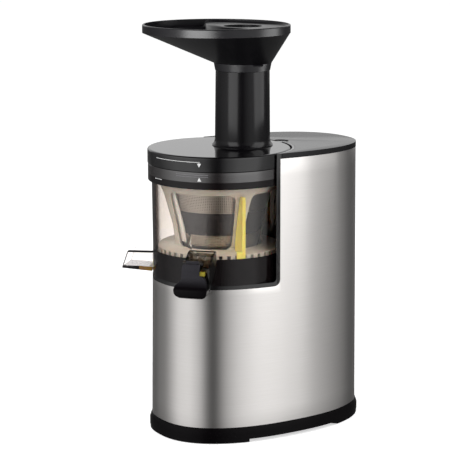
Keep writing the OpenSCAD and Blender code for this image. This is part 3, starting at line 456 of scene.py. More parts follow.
sleeveLow, sleeveHigh = lowHigh("steel_sleeve")
skirtLow, skirtHigh = lowHigh("base_skirt")
coverHigh = lowHigh("top_cover")[1]
oval = {
    "middle": (sleeveLow.y + sleeveHigh.y) / 2,
    "halfWidth": 84.0,
    "halfLength": 131.0,
    "squareness": 2.35,  # power of the curve: 2 is an ellipse
    "spread": 0.026,  # growth from the sleeve's top to its bottom
    "steps": 192,
}


def sleeveGrow(z):
    return 1 + oval["spread"] * (sleeveHigh.z - z) / (sleeveHigh.z - sleeveLow.z)


def ovalLoft(rings, closed=True):  # rings: height, growth of the plan and inset, in order along the section
    bm = bmesh.new()
    bmesh.ops.create_circle(bm, segments=oval["steps"], radius=1.0)
    edges = bm.edges[:]
    first = edges
    for index in range(1, len(rings)):
        made = bmesh.ops.extrude_edge_only(bm, edges=edges)["geom"]
        edges = partsOf(made, bmesh.types.BMEdge)
        for v in partsOf(made, bmesh.types.BMVert):
            v.co.z = index
    if closed:
        bmesh.ops.bridge_loops(bm, edges=first + edges)
    else:
        bmesh.ops.edgeloop_fill(bm, edges=first)
        bmesh.ops.edgeloop_fill(bm, edges=edges)
    power = 2 / oval["squareness"]
    for v in bm.verts:
        height, grow, inset = rings[round(v.co.z)]
        x = math.copysign(abs(v.co.x) ** power, v.co.x)
        y = math.copysign(abs(v.co.y) ** power, v.co.y)
        v.co = ((oval["halfWidth"] * grow - inset) * x,
                (oval["halfLength"] * grow - inset) * y + oval["middle"], height)
    bmesh.ops.recalc_face_normals(bm, faces=bm.faces)
    return bm


# Cutting blocks reach past every piece: from foot up for the drum's wall, from low up for the lid

cutter = {"out": 300, "side": 200, "foot": 100, "low": 300, "high": 400}


def inFrontOf(back, low, high, corner=None):  # a block that takes away what stands in front of a line
    corners = {1: corner} if corner else None
    return sidePlate(oblong(-cutter["out"], back, low, high), -cutter["side"], cutter["side"], 180, corners)


# Steel sleeve

sleeve = {"rows": 16, "wall": 1.2, "cutBack": 33.3, "frontTop": 188.0, "cutCorner": 8.0, "edge": 0.3,
          # the switch's window and the cord's hole, in the back
          "windowAt": (0, 200, 75), "window": (28, 100, 26), "cordAt": (0, 200, 38), "cordHole": 9,
          "cordCut": 100}


def makeSleeve():
    tall = sleeveHigh.z - sleeveLow.z
    heights = [sleeveLow.z + tall * i / sleeve["rows"] for i in range(sleeve["rows"] + 1)]
    rings = [(z, sleeveGrow(z), 0) for z in heights]
    rings += [(z, sleeveGrow(z), sleeve["wall"]) for z in reversed(heights)]
    bm = ovalLoft(rings)
    bm = combine(bm, inFrontOf(sleeve["cutBack"], sleeve["frontTop"], cutter["high"], sleeve["cutCorner"]))
    window = bmesh.new()
    bmesh.ops.create_cube(window, size=1, matrix=Matrix.Translation(sleeve["windowAt"])
                          @ Matrix.Diagonal((*sleeve["window"], 1)))
    bm = combine(bm, window)
    cordPlace = Matrix.Translation(sleeve["cordAt"]) @ lyingDown
    bm = combine(bm, rod(sleeve["cordHole"], sleeve["cordCut"], cordPlace, 48))
    roundEdges(bm, sleeve["edge"], segments=2, angle=45)
    return addPiece("steelSleeve", bm, "brushedStainless", "housing", ["steel_sleeve"])


steelSleeve = makeSleeve()
print("steel sleeve made")


# Base skirt with its two foot bands

skirt = {"grow": 1.049, "bandInset": 0.45, "footHeight": 4.6, "shoulder": 12.5, "lip": 0.002, "inset": 6.0,
         "under": 7, "hollow": 18, "edge": 1.0, "footEdge": 0.5,
         # the gap between the bands
         "gapFront": -7.5, "gapRearLow": 126, "gapRearHigh": 110, "gapLow": -5}


def makeSkirt():
    top, band, foot = skirtHigh.z, skirtLow.z, skirt["footHeight"]
    grow, seat = skirt["grow"], sleeveGrow(sleeveLow.z)
    bm = ovalLoft([(band, grow, skirt["bandInset"]), (foot, grow, skirt["bandInset"]), (foot + 0.01, grow, 0),
                   (skirt["shoulder"], grow, 0), (top, seat + skirt["lip"], 0), (top, seat, skirt["inset"]),
                   (skirt["under"], seat, skirt["inset"]), (skirt["under"], seat, skirt["hollow"]),
                   (band, seat, skirt["hollow"])])
    front, rear, low = skirt["gapFront"], skirt["gapRearLow"], skirt["gapLow"]
    gap = [(front, low), (rear, low), (rear, 0), (skirt["gapRearHigh"], foot), (front, foot)]
    bm = combine(bm, sidePlate(gap, -cutter["side"], cutter["side"], azimuth=180))
    roundEdges(bm, skirt["edge"], angle=25, where=lambda a, b: min(a.z, b.z) > foot + 2)
    roundEdges(bm, skirt["footEdge"], segments=2, angle=50, where=lambda a, b: max(a.z, b.z) < foot + 0.005)
    addPiece("baseSkirt", bm, "blackPolypropylene", "housing", ["base_skirt"])


makeSkirt()
print("base skirt made")


# Cover behind the lid, and the curved wall whose top is the rim beside the lid

cover = {"grow": 1.002, "front": 28.3, "notch": 9.5, "notchAt": (-4, 91.5), "notchDepth": 0.9, "edge": 1.2}
wall = {"radius": 87.7, "thick": 3.0, "gap": 0.3, "inset": 1.5, "front": 33.3, "edge": 1.8}
wallLow, wallHigh = lowHigh("drum_wall")


def fingerNotch():
    return cylinder(cover["notch"], coverHigh.z - cover["notchDepth"], cutter["high"], cover["notchAt"])


def makeCover():
    bm = ovalLoft([(sleeveHigh.z, cover["grow"], 0), (coverHigh.z, cover["grow"], 0)], closed=False)
    bm = combine(bm, inFrontOf(cover["front"], cutter["low"], cutter["high"]))
    outside = wall["radius"] + wall["thick"] + wall["gap"]
    bm = combine(bm, cylinder(outside, cutter["low"], cutter["high"], segments=240))
    bm = combine(bm, fingerNotch())
    roundEdges(bm, cover["edge"], angle=50, where=lambda a, b: min(a.z, b.z) > coverHigh.z - 0.1
               and min(a.xy.length, b.xy.length) > outside + 1)
    addPiece("topCover", bm, "semiGlossAbs", "housing", ["top_cover"])


def makeWall():
    inner, outer, inset = wall["radius"], wall["radius"] + wall["thick"], wall["inset"]
    bm = lathe(oblong(inner, outer, wallLow.z, wallHigh.z), steps=240)
    within = ovalLoft([(wallLow.z - 1, sleeveGrow(wallLow.z), inset), (sleeveHigh.z, 1, inset),
                       (sleeveHigh.z, cover["grow"], 0), (wallHigh.z + 1, cover["grow"], 0)], closed=False)
    bm = combine(bm, within, "INTERSECT")
    bm = combine(bm, inFrontOf(wall["front"], cutter["foot"], sleeveHigh.z))
    bm = combine(bm, inFrontOf(cover["front"], cutter["foot"], cutter["high"]))
    bm = combine(bm, fingerNotch())
    roundEdges(bm, wall["edge"], angle=50, where=lambda a, b: min(a.z, b.z) > wallHigh.z - 0.1
               and max(a.xy.length, b.xy.length) < inner + 0.2)
    addPiece("drumWall", bm, "polishedAbs", "housing", ["drum_wall"])


makeCover()
makeWall()
print("cover and wall made")


# Lid with its marks, and the ring that it locks into

lidLow, lidHigh = lowHigh("lid")
ringLow, ringHigh = lowHigh("bowl_ring")
tubeLow, tubeHigh = lowHigh("feed_tube")
lid = {"radius": lidHigh.x, "seam": ringHigh.z + 0.4, "collar": 77.8, "hollow": 75.0, "deck": 3.2,
       "wall": 3.0, "boss": 8.5, "bossFoot": 4, "bush": 6.0, "bushRoof": 1.8, "hole": 26.0, "holeBack": 34.3,
       "edge": 2.4, "rim": 0.6, "seamEdge": 0.5, "lugs": (77.6, 81), "lugTall": 6}
lug = {"every": 90, "arc": 30}  # degrees


def addLugs(bm, radii, low, high):
    for middle in range(0, 360, lug["every"]):
        made = lathe(oblong(*radii, low, high), steps=12, arc=lug["arc"], start=middle - lug["arc"] / 2)
        bm = combine(bm, made, "UNION")
    return bm


def makeLid():
    radius, top, seam, low = lid["radius"], lidHigh.z, lid["seam"], lidLow.z
    deck, inside, foot = top - lid["deck"], radius - lid["wall"], ringHigh.z - lid["bossFoot"]
    roof = deck - lid["bushRoof"]
    flat = radius - lid["edge"] - lid["rim"]  # keeps the flat top's shading apart from the rounded edge's
    bm = lathe([(flat, top), (0, top), (0, roof), (lid["bush"], roof), (lid["bush"], foot),
                (lid["boss"], foot), (lid["boss"], deck), (lid["hollow"], deck), (lid["hollow"], low),
                (lid["collar"], low), (lid["collar"], deck), (inside, deck), (inside, seam), (radius, seam),
                (radius, top)], steps=192)
    roundEdges(bm, lid["edge"], segments=4, angle=50,
               where=lambda a, b: min(a.z, b.z) > top - 0.1 and a.xy.length > inside)
    roundEdges(bm, lid["seamEdge"], segments=2, angle=50,
               where=lambda a, b: max(a.z, b.z) < seam + 0.1 and a.xy.length > radius - 0.1)
    bm = combine(bm, cylinder(lid["hole"], cutter["low"], cutter["high"], (0, lid["holeBack"])))
    bm = addLugs(bm, lid["lugs"], low, low + lid["lugTall"])
    addPiece("lidShell", bm, "polishedAbs", "lid_body", ["lid"])


makeLid()

ring = {"inner": 81.5, "lip": 1.8, "shelf": 3, "edge": 0.8, "lugs": (78.4, 82), "lugLow": 5.5, "lugHigh": 2,
        "sheenBandFrom": 316.6}  # above this height the ring takes the lighter, more reflective copy: a painted sheen


def makeRing():
    inner, outer, tone, shelf = ring["inner"], ringHigh.x, ring["sheenBandFrom"], ringLow.z + ring["shelf"]
    low, high, within = ringLow.z - ring["lip"], ringHigh.z, ring["inner"] - ring["shelf"]
    bm = lathe([(within, ringLow.z), (inner, ringLow.z), (inner, low), (outer, low), (outer, tone),
                (outer, high), (inner, high), (inner, shelf), (within, shelf)], steps=192)
    roundEdges(bm, ring["edge"], angle=50, where=lambda a, b: a.xy.length > outer - 0.2)
    bm = addLugs(bm, ring["lugs"], high - ring["lugLow"], high - ring["lugHigh"])
    # Faces above the band's foot take the painted sheen's copy of the plastic
    for face in bm.faces:
        if face.calc_center_median().z > tone:
            face.material_index = 1
    piece = addPiece("lockRing", bm, "smokedCopolyester", "drum", ["bowl_ring"])
    piece.data.materials.append(materials["paintedSheenCopolyester"])


makeRing()

marks = {"azimuth": 43.0, "thick": 0.12, "sunk": 0.03, "size": 4.6, "stroke": 0.7, "line": 0.6,
         "thinLine": 0.4, "lidTriangle": 336.6, "lidLine": 340.3, "lidDrop": (340.6, 338.0),
         "ringTriangle": 320.2,
         # a height, and azimuths from and to
         "ringStroke": (315.4, -3, 7), "ringLineHigh": (325.2, 23, 50), "ringLineLow": (323.0, 23, 50)}


def triangleMark(radius, height, up):  # a small printed triangle on a round wall
    base, half, rise = radius - marks["sunk"], marks["size"] / 2, marks["size"] * 0.5 * (1 if up else -1)
    bm = bmesh.new()
    corners = [(base, -half, height - rise), (base, half, height - rise), (base, 0, height + rise)]
    bm.faces.new([bm.verts.new(c) for c in corners])
    return thicken(bm, (marks["thick"], 0, 0), marks["azimuth"])


def printOutline(radius, low, high):  # the section of a printed line on a round wall
    return oblong(radius - marks["sunk"], radius + marks["thick"], low, high)


def arcMark(radius, height, first, last, width):  # a printed line round the wall between two azimuths
    return lathe(printOutline(radius, height - width / 2, height + width / 2), steps=32, arc=last - first,
                 start=first - 90)


def dropMark(radius, high, low):  # a short printed stroke down to a triangle
    return sidePlate(printOutline(radius, low, high), -marks["stroke"] / 2, marks["stroke"] / 2,
                     azimuth=marks["azimuth"])


def addMarks():
    lidWall, ringWall, line = lid["radius"], ringHigh.x, marks["line"]
    lidLine = arcMark(lidWall, marks["lidLine"], 0, marks["azimuth"] - 0.5, line)
    onLid = {"lidTriangle": triangleMark(lidWall, marks["lidTriangle"], False), "lidLine": lidLine,
             "lidDrop": dropMark(lidWall, *marks["lidDrop"])}
    onRing = {"ringTriangle": triangleMark(ringWall, marks["ringTriangle"], True),
              "ringStroke": arcMark(ringWall, *marks["ringStroke"], line)}
    thin = {name: arcMark(ringWall, *marks[name], marks["thinLine"])
            for name in ("ringLineHigh", "ringLineLow")}
    for group, ink, body in ((onLid, "printedInk", "lid_body"), (onRing, "printedInk", "drum"),
                             (thin, "thinInk", "drum")):
        for name, bm in group.items():
            addPiece(name, bm, ink, body)


addMarks()
print("lid and ring made")


# Feed tube on the lid

tube = {"back": (tubeLow.y + tubeHigh.y) / 2, "radius": 32.5, "foot": tubeHigh.x, "footEdge": 0.8,
        "wall": 2.6, "flare": [(1.9, 3.2), (0.9, 8)],  # how much wider, and at what height over the foot
        "throat": 26.4, "throatHigh": 4, "taperHigh": 22, "edge": 0.5}


def makeTube():
    low, high, r = tubeLow.z, tubeHigh.z, tube["radius"]
    inside, throat = r - tube["wall"], tube["throat"]
    bm = lathe([(tube["foot"], low), (tube["foot"], low + tube["footEdge"])]
               + [(r + wider, low + height) for wider, height in tube["flare"]]
               + [(r, high), (inside, high), (inside, low + tube["taperHigh"]),
                  (throat, low + tube["throatHigh"]), (throat, low)], steps=160, centre=(0, tube["back"]))
    roundEdges(bm, tube["edge"], segments=2, angle=60, where=lambda a, b: min(a.z, b.z) > high - 0.1)
    return addPiece("feedTube", bm, "blastedAbs", "lid_body", ["feed_tube"], smoothAngle=40)


trayHigh = lowHigh("feed_tray")[1]
tray = {"rimEdge": 1.1, "rimWall": 2.5, "centre": (0, -2), "rimLow": trayHigh.z - 9.7, "funnel": 84.5,
        "step": 0.15, "grow": 1.35, "forward": 1.5}


def makeTray():
    bm = smoothCopy("feed_tray")
    centre, rimLow = Vector(tray["centre"]), tray["rimLow"]
    inside = trayHigh.x - tray["rimWall"]
    roundEdges(bm, tray["rimEdge"], angle=50, where=lambda a, b: min(a.z, b.z) > trayHigh.z - 0.1
               and min((a.xy - centre).length, (b.xy - centre).length) > inside + 0.5)
    # The rim stands out a little and the funnel nearly meets its lower edge, with narrow faces between them
    step = [f for f in bm.faces if all(abs(v.co.z - rimLow) < 0.05
                                       and (v.co.xy - centre).length > tray["funnel"] - 0.5 for v in f.verts)]
    bmesh.ops.delete(bm, geom=step, context="FACES")
    bmesh.ops.bridge_loops(bm, edges=[e for e in bm.edges if e.is_boundary])
    bmesh.ops.recalc_face_normals(bm, faces=bm.faces)
    for v in bm.verts:
        away = v.co.xy - centre
        if v.co.z > rimLow - 0.1 and away.length > inside - 0.5:
            onFunnel = abs(away.length - tray["funnel"]) < 0.3
            reach = trayHigh.x - tray["step"] if onFunnel else away.length
            v.co.xy = centre + away.normalized() * (reach + tray["grow"]) - Vector((0, tray["forward"]))
    return addPiece("feedTray", bm, "satinAbs", "tray", ["feed_tray"])


feedTube = makeTube()
feedTray = makeTray()
print("feed tube and tray made")


# Drum: clear bowl, dark base, pulp trough

bowl = {
    "spoutFrom": 81.6, "spoutAt": 45,
    # dark strips on the spout's top edges, along its two sides and at its back: painted shade where the clear
    # walls look dark edge on
    "shadeStripSide": [(82.2, 234.2), (88.2, 233.8), (100.5, 228.1), (100.8, 229.2), (88.3, 234.9), (82.2, 235.6)],
    "shadeStripBack": oblong(81.2, 82.6, 234.2, 235.6),
    "side": 15.9, "line": 1.1, "edge": 0.3,
}
trough = {
    "azimuth": -45, "side": 15.3, "out": 18.5, "edge": 0.6,
    # opaque beads along the edges of the side that faces the spout, painted where the clear trough looks dark
    # edge on: dark shade, and an amber glow where the keel meets the bowl
    "troughEndShade": ([(110.0, 216.5), (110.7, 216.5), (117.7, 196.5), (117.0, 196.5)], "styreneEndShade"),
    "troughRimShade": ([(78.6, 216.2), (110.2, 215.4), (109.8, 217.8), (78.6, 218.5)], "smokedCopolyester"),
    "troughKeelShade": ([(96, 194.3), (117.6, 195.6), (116.9, 198.0), (96, 199.0)], "smokedCopolyester"),
    "troughRootGlow": ([(79.5, 193.5), (96, 194.3), (96, 199.0), (79.5, 198.4)], "amberGlowCopolyester"),
}


def makeBowl():
    bm = smoothCopy("bowl")
    for face in bm.faces:  # the spout's walls are thicker and look brown
        if face.calc_center_median().xy.length > bowl["spoutFrom"]:
            face.material_index = 1
    piece = addPiece("clearBowl", bm, "clearCopolyester", "drum", ["bowl"])
    piece.data.materials.append(materials["brownCopolyester"])
    side, line = bowl["side"], bowl["line"]
    # Opaque dark strips over the clear spout's top edges: painted shade
    rim = sidePlate(bowl["shadeStripBack"], -side, side, azimuth=bowl["spoutAt"])
    for near in (-side, side - line):
        rim = combine(rim, sidePlate(bowl["shadeStripSide"], near, near + line, azimuth=bowl["spoutAt"]), "UNION")
    roundEdges(rim, bowl["edge"], segments=2, angle=40)
    addPiece("spoutEdgeShade", rim, "smokedCopolyester", "drum")
    addPiece("bowlBase", smoothCopy("bowl_base"), "smokedCopolyester", "drum", ["bowl_base"])


def makeTrough():
    addPiece("pulpSpout", smoothCopy("pulp_spout"), "clearStyrene", "drum", ["pulp_spout"])
    # Beads of painted shade over the clear trough's edges, one with a painted amber glow
    for name in ("troughEndShade", "troughRimShade", "troughKeelShade", "troughRootGlow"):
        outline, material = trough[name]
        bead = sidePlate(outline, trough["side"], trough["out"], azimuth=trough["azimuth"])
        if name != "troughEndShade":  # the cut end is too thin to round
            roundEdges(bead, trough["edge"], angle=40)
        addPiece(name, bead, material, "drum")


makeBowl()
makeTrough()


# Brush basket, its wipers and the strainer inside it

basket = {
    "outline": [(72.5, 308), (68, 308), (67.6, 300), (54.8, 254), (51.4, 234), (51, 229), (53, 226.8),
                (66.8, 226.4), (66.8, 213), (74, 213), (74, 228.4), (72.8, 229.4), (55.5, 229.8), (54.2, 231),
                (53.5, 234), (57, 253), (70, 300), (72.5, 304)],
    "inside": [(51.4, 234), (54.8, 254), (67.6, 300)], "wall": 2.9, "edge": 0.7, "edgesFrom": 230,
    # a window seen from outside: sideways and height, about its own azimuth
    "window": [(-31.6, 231), (33.4, 231), (39.7, 298.5), (-42.9, 298.5)], "windowAt": 37, "corner": 7,
    "windowCut": (40, 90), "slots": 48, "slotRadius": 72, "slotDeep": 16, "slotWide": 4.2, "slotLow": 222,
    "slotHigh": 228, "ring": (40, 67.3, 206, 221.5),  # two radii and two heights
}


def makeBasket():
    bm = lathe(basket["outline"], steps=180)
    corners = dict.fromkeys(range(4), basket["corner"])
    for azimuth in range(basket["windowAt"], basket["windowAt"] + 360, 90):
        window = sidePlate(basket["window"], *basket["windowCut"], azimuth=azimuth - 90, corners=corners)
        bm = combine(bm, window)
    roundEdges(bm, basket["edge"], angle=50, where=lambda a, b: min(a.z, b.z) > basket["edgesFrom"])
    low, high = basket["slotLow"], basket["slotHigh"]
    slot = (Matrix.Translation((basket["slotRadius"], 0, (low + high) / 2))
            @ Matrix.Diagonal((basket["slotDeep"], basket["slotWide"], high - low, 1)))
    slots = bmesh.new()
    for i in range(basket["slots"]):
        turn = Matrix.Rotation(math.tau * i / basket["slots"], 4, "Z")
        bmesh.ops.create_cube(slots, size=1, matrix=turn @ slot)
    bm = combine(bm, slots)
    # The toothed ring inside the foot comes from the CAD node, because a gear turns it
    toothed = combine(smoothCopy("brush_carrier"), lathe(oblong(*basket["ring"])), "INTERSECT")
    bm = combine(bm, toothed, "UNION")
    addPiece("brushBasket", bm, "beigePolyetherimide", "brush", ["brush_carrier"])


makeBasket()

wiperLow = lowHigh("bowl_wipers")[0]
wiper = {"azimuths": (80.5, 260.5), "high": 297, "reach": 77.1, "side": 2.0, "edge": 0.6, "tip": 0.6,
         "tipHigh": 7, "footBack": 0.2, "foot": [(74.8, 228.6), (72.9, 229.5), (55.6, 229.9)],
         "wallHeights": (236, 253), "pad": 8.4, "padThin": 0.2, "padHigh": (231, 233)}
inner = {"azimuths": (-9.5, 170.5), "heights": (236, 254, 298), "gap": 0.4, "thick": 1.8,
         "side": (-2, 17.5), "lean": 0.17, "edge": 0.5}


def basketInside(z):  # inner radius of the basket's wall at a height
    (lowRadius, low), (bendRadius, bend), (highRadius, high) = basket["inside"]
    if z > bend:
        return bendRadius + (z - bend) * (highRadius - bendRadius) / (high - bend)
    return lowRadius + (z - low) * (bendRadius - lowRadius) / (bend - low)


def basketOutside(z):
    return basketInside(z) + basket["wall"]


def wiperFin(azimuth):  # a blade against the basket's wall, with a pad at its foot
    high, reach, side, low = wiper["high"], wiper["reach"], wiper["side"], wiperLow.z
    back, foot = reach - wiper["footBack"], wiper["foot"][0][0]
    padNear, padFar = wiper["padHigh"]
    blade = [(basketOutside(high), high), (reach - wiper["tip"], high), (reach, high - wiper["tipHigh"]),
             (back, low), (foot, low), *wiper["foot"], *[(basketOutside(z), z) for z in wiper["wallHeights"]]]
    fin = sidePlate(blade, -side, side, azimuth=azimuth)
    pad = sidePlate([(foot, low), (back, low), (back, padNear), (foot, padFar)], -wiper["pad"],
                    side - wiper["padThin"], azimuth=azimuth)
    return roundEdges(combine(fin, pad, "UNION"), wiper["edge"], angle=40)


def innerStrip(azimuth):  # a pale strip that leans from the post towards the strainer
    heights, gap, sideways = inner["heights"], inner["gap"], compass(azimuth + 90)
    outline = [(basketInside(z) - gap, z) for z in heights]
    outline += [(basketInside(z) - gap - inner["thick"], z) for z in heights[::-1]]
    strip = sidePlate(outline, *inner["side"], azimuth=azimuth)
    for v in strip.verts:  # narrower towards the foot
        side = v.co.dot(sideways)
        if side > 0:
            fall = (heights[-1] - v.co.z) / (heights[-1] - heights[0])
            v.co -= sideways * side * inner["lean"] * fall + compass(azimuth) * inner["lean"] * side
    return roundEdges(strip, inner["edge"], segments=2, angle=40)


fins = gather([wiperFin(azimuth) for azimuth in wiper["azimuths"]])
addPiece("bowlWipers", fins, "yellowSilicone", "brush", ["bowl_wipers"])
leaning = gather([innerStrip(azimuth) for azimuth in inner["azimuths"]])
addPiece("strainerWipers", leaning, "milkySilicone", "brush", ["strainer_wipers"])

strainerLow, strainerHigh = lowHigh("strainer_mesh")
strainer = {"lowRadius": 45.0, "highRadius": strainerHigh.x, "around": 170, "rows": 36, "wall": 0.8,
            "bridge": 0.5}


def makeStrainer():
    bm = bmesh.new()
    height = strainerHigh.z - strainerLow.z
    bmesh.ops.create_cone(bm, segments=strainer["around"], radius1=strainer["lowRadius"],
                          radius2=strainer["highRadius"], depth=height, cap_ends=False,
                          matrix=Matrix.Translation((0, 0, strainerLow.z + height / 2)))
    for i in range(1, strainer["rows"]):
        z = strainerLow.z + height * i / strainer["rows"]
        bmesh.ops.bisect_plane(bm, geom=bm.verts[:] + bm.edges[:] + bm.faces[:], plane_co=(0, 0, z),
                               plane_no=(0, 0, 1))
    cells = bm.faces[:]
    bmesh.ops.inset_individual(bm, faces=cells, thickness=strainer["bridge"], use_even_offset=True)
    bmesh.ops.delete(bm, geom=cells, context="FACES")
    bmesh.ops.recalc_face_normals(bm, faces=bm.faces)
    bmesh.ops.solidify(bm, geom=bm.faces[:], thickness=strainer["wall"])
    addPiece("strainerMesh", bm, "etchedStainless", "drum", ["strainer_mesh"])


makeStrainer()

cap = {
    "azimuth": 45, "edge": 1.5, "halfWidth": 30, "frontCut": (90, 140),
    # seen from the front: sideways and height, to the left first
    "front": [(14.6, 226.6), (-5.4, 226.6), (-5.6, 214.2), (-11.3, 211), (-14.2, 204), (-16, 198),
              (-15.8, 193.5), (-13.6, 190.2), (-9.5, 188.2), (-3, 187.2), (8, 187.4), (16.5, 188.9),
              (20.8, 191.4), (22.8, 195), (23.4, 199), (22.2, 202.8), (17.6, 206.4), (15.9, 210),
              (15.2, 222)],
    # seen from the side: radius and height
    "side": [(114.8, 226.6), (118.5, 226), (121, 221), (120.4, 213.8), (121.3, 208), (123.4, 204.3),
             (126.5, 201.3), (129, 198), (129.5, 193.5), (127.4, 189), (123, 187.3), (112, 187.1), (104, 188),
             (104, 195.4), (108, 196.0), (113.5, 194.6), (115.8, 195.4), (114.8, 198)],
    "knuckleAt": (112.4, 227.2), "knuckle": 2.6, "knuckleFrom": -3.4, "knuckleTo": 11.7,
}


def makeCap():
    bm = sidePlate(cap["side"], -cap["halfWidth"], cap["halfWidth"], azimuth=cap["azimuth"])
    bm = combine(bm, sidePlate(cap["front"], *cap["frontCut"], azimuth=cap["azimuth"] - 90), "INTERSECT")
    roundEdges(bm, cap["edge"], angle=32)
    start, end = cap["knuckleFrom"], cap["knuckleTo"]
    knuckle = rod(cap["knuckle"], end - start, lyingDown, 32)
    radius, height = cap["knuckleAt"]
    bmesh.ops.translate(knuckle, verts=knuckle.verts, vec=(radius, -(start + end) / 2, height))
    bmesh.ops.transform(knuckle, matrix=turnTo(cap["azimuth"]), verts=knuckle.verts)
    bm = combine(bm, knuckle, "UNION")
    addPiece("spoutCap", bm, "sheenPaintedPolypropylene", "cap", ["spout_cap"])


makeCap()

for node, name, material, body, slot, rounding in (
        ("recess_frame", "recessFrame", "polishedAbs", "housing", "black_satin", 0.0),
        ("strainer_frame", "strainerFrame", "darkPolyetherimide", "drum", "strainer_plastic", 0.0),
        ("screw", "pressingScrew", "darkPolyetherimide", "pressing_screw", "screw_plastic", 0.0),
        ("rubber_feet", "rubberFeet", "mouldedRubber", "housing", "rubber_black", 0.5)):
    bm = smoothCopy(node)
    if rounding:
        roundEdges(bm, rounding, segments=2, angle=40)
    addPiece(name, bm, material, body, [node])
print("drum made")


# Finishes of the CAD nodes that stay

finishes = {
    "turnedSteel": ["base_screws", "gearbox_screws", "motor_bearings", "motor_shaft", "first_axle",
                    "second_axle", "drive_shaft", "screw_gear", "screw_pin", "lid_magnet"],
    "filledNylon": ["bottom_plate", "chassis", "gearbox_case", "gearbox_cover", "board_parts", "lid_sensor",
                    "cooling_fan"],
    "mouldedRubber": ["shaft_seal", "cord_inlet"],
    "sinteredBronze": ["axle_bushes"],
    "zincPlate": ["motor_can", "motor_end_plate"],
    "groundFerrite": ["motor_magnets"],
    "pressedCarbon": ["carbon_brushes"],
    "solderMask": ["control_board"],
    "satinAbs": ["switch_housing", "cap_pin"],
    "polishedAbs": ["switch_rocker"],
    "varnishedWinding": ["rotor_core"],
    "drawnCopper": ["commutator"],
    "mouldedAcetal": ["first_gear", "second_gear", "output_gear", "brush_pinion", "lid_bush"],
    "yellowSilicone": ["bowl_seal", "pulp_plug"],
    "oliveSilicone": ["cap_seal"],
    "milkySilicone": ["lid_gasket"],
}
for material, names in finishes.items():
    for node in names:
        nodes[node].data.materials.clear()
        nodes[node].data.materials.append(materials[material])
print("finishes set")


# Camera

view = {"azimuth": 57.3, "distance": 2.0366, "height": 0.6448, "down": 11.10, "left": 1.05, "lens": 135.27,
        "clip": (0.05, 50)}

lens = bpy.data.cameras.new("camera")
lens.lens = view["lens"]
lens.clip_start, lens.clip_end = view["clip"]
camera = addObject("camera", lens)
standing = compass(view["azimuth"], view["distance"])
camera.location = (standing.x, standing.y + oval["middle"] * millimetre, view["height"])
camera.rotation_euler = (math.radians(90 - view["down"]), 0, math.radians(view["azimuth"] + view["left"]))
scene.camera = camera


# Floor and world

studio = {
    "floor": "#e9e9e9", "floorSize": 40.0, "floorGlow": 0.58, "white": (1, 1, 1, 1), "fill": 0.55,
    # light boxes round the object, as azimuth from the front and brightness
    "round": [(-180, 0.12), (-163, 0.075), (-140, 0.10), (-105, 0.12), (-78, 0.10), (-50, 0.26), (-14, 0.84),
              (13, 0.92), (34, 0.62), (47, 0.16), (54, 0.06), (60, 0.08), (73, 0.48), (90, 0.88), (110, 0.98),
              (122, 0.94), (134, 0.52), (152, 0.32), (168, 0.22), (180, 0.12)],
    # and above the horizon
    "above": [(-180, 0.12), (-163, 0.3), (-155, 0.9), (-88, 0.9), (-78, 0.2), (-50, 0.4), (-14, 1.1),
              (13, 1.15), (34, 0.8), (47, 0.2), (54, 0.08), (60, 0.1), (73, 0.6), (90, 1.1), (110, 1.25),
              (122, 1.2), (134, 0.65), (152, 0.4), (168, 0.28), (180, 0.12)],
    # heights, as parts of a sphere, from and to, and brightness where it isn't 0 to 1
    "boxFoot": (-0.95, -0.6, 0.15, 1.0),  # the light boxes end a little above the floor
    "horizon": (0.0, 0.08),
    "roof": (0.5, 0.8, 1.0, 0.12),  # the room is dark overhead
}


def calculate(tree, operation, first, second):
    return addNode(tree, "Math", {"operation": operation, 0: first, 1: second}).outputs[0]


def rayKinds(tree):  # what the camera sees, straight or through clear plastic, and what a reflection shows
    rays = addNode(tree, "LightPath", {}).outputs
    straight = calculate(tree, "MAXIMUM", rays["Is Camera Ray"], rays["Is Transmission Ray"])
    return straight, calculate(tree, "MINIMUM", rays["Glossy Depth"], 1.0)


def makeFloor():
    bm = bmesh.new()
    bmesh.ops.create_grid(bm, x_segments=1, y_segments=1, size=studio["floorSize"] / 2)
    mesh = toMesh("floor", bm)
    material = bpy.data.materials.new("paperSweep")
    tree = emptyTree(material)
    straight, mirrored = rayKinds(tree)
    strength = calculate(tree, "MULTIPLY", straight, studio["floorGlow"])
    paper = addNode(tree, "BsdfDiffuse", {"Color": toLinear(studio["floor"])})
    glow = addNode(tree, "Emission", {"Color": studio["white"], "Strength": strength})
    both = addNode(tree, "AddShader", {0: paper.outputs[0], 1: glow.outputs[0]})
    gone = addNode(tree, "BsdfTransparent", {})  # reflections show the light boxes, not the paper
    surface = mixShaders(tree, mirrored, both.outputs[0], gone.outputs[0])
    addNode(tree, "OutputMaterial", {"Surface": surface})
    mesh.materials.append(material)
    floor = addObject("floor", mesh)


def background(tree, colour, strength):
    return addNode(tree, "Background", {"Color": colour, "Strength": strength}).outputs[0]


def makeWorld():
    world = bpy.data.worlds.new("studio")
    scene.world = world
    tree = emptyTree(world)
    straight, mirrored = rayKinds(tree)
    place = addNode(tree, "TexCoord", {})
    axes = addNode(tree, "SeparateXYZ", {"Vector": place.outputs["Generated"]}).outputs
    turn = calculate(tree, "ARCTAN2", axes["X"], calculate(tree, "MULTIPLY", axes["Y"], -1))
    along = remap(tree, turn, -math.pi, math.pi)
    tones = [addRamp(tree, along, [((azimuth + 180) / 360, (s, s, s, 1)) for azimuth, s in studio[level]])
             for level in ("round", "above")]
    low, horizon, roof = [remap(tree, axes["Z"], *studio[part]) for part in ("boxFoot", "horizon", "roof")]
    boxes = mixShaders(tree, horizon, background(tree, tones[0], low), background(tree, tones[1], roof))
    fill, white = [background(tree, studio["white"], strength) for strength in (studio["fill"], 1.0)]
    unreflected = mixShaders(tree, straight, fill, white)
    addNode(tree, "OutputWorld", {"Surface": mixShaders(tree, mirrored, unreflected, boxes)})


makeFloor()
makeWorld()


# Lamps

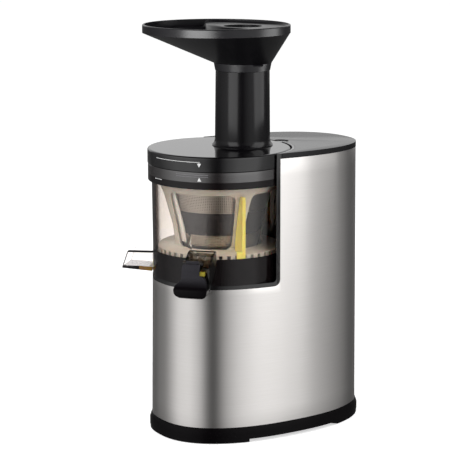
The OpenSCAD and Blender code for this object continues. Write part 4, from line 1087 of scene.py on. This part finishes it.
lamps = {
    "keyLamp": {"azimuth": 5, "distance": 1.6, "height": 1.5, "width": 1.2, "tall": 1.2, "power": 14},
    "sideLamp": {"azimuth": 105, "distance": 1.6, "height": 1.3, "width": 1.0, "tall": 1.2, "power": 12},
    "topLamp": {"azimuth": 57, "distance": 0.1, "height": 2.2, "width": 1.4, "tall": 1.4, "power": 12},
}
aimPoint = {"back": 0.03, "height": 0.25}


def makeLamp(name, lamp):
    data = bpy.data.lights.new(name, "AREA")
    data.shape, data.size, data.size_y, data.energy = "RECTANGLE", lamp["width"], lamp["tall"], lamp["power"]
    item = addObject(name, data)
    item.location = compass(lamp["azimuth"], lamp["distance"]) + Vector((0, 0, lamp["height"]))
    aim = Vector((0, aimPoint["back"], lamp.get("aim", aimPoint["height"]))) - item.location
    item.rotation_euler = aim.to_track_quat("-Z", "Y").to_euler()
    item.visible_camera = False
    item.visible_glossy = False
    return item


for name, lamp in lamps.items():
    makeLamp(name, lamp)

# Tall narrow boxes that light one piece only and draw its soft upright highlights
rimStrip = {"only": feedTray, "distance": 1.0, "height": 0.32, "tall": 0.56}
tubeStrip = {"only": feedTube, "distance": 0.2, "height": 0.485, "width": 0.17, "tall": 0.2, "aim": 0.44}
sleeveStrip = {"only": steelSleeve, "distance": 1.0, "height": 0.45, "tall": 0.5}
strips = {
    "rimStripLeft": {**rimStrip, "azimuth": 32, "width": 0.78, "power": 16},
    "rimStripRight": {**rimStrip, "azimuth": 148, "width": 0.56, "power": 5},
    "tubeStripLeft": {**tubeStrip, "azimuth": 22, "power": 0.36},
    "tubeStripRight": {**tubeStrip, "azimuth": 136, "power": 0.3},
    "steelStrip": {**sleeveStrip, "azimuth": 113, "width": 0.6, "power": 1.0},
    "steelStripBack": {**sleeveStrip, "azimuth": 143, "width": 0.5, "power": 0.25},
}

for name, strip in strips.items():
    item = makeLamp(name, strip)
    item.visible_glossy = True
    lit = bpy.data.collections.new(name + "Lights")
    lit.objects.link(strip["only"])
    item.light_linking.receiver_collection = lit

scene.view_settings.view_transform = "Standard"
print("camera, floor and lamps made")
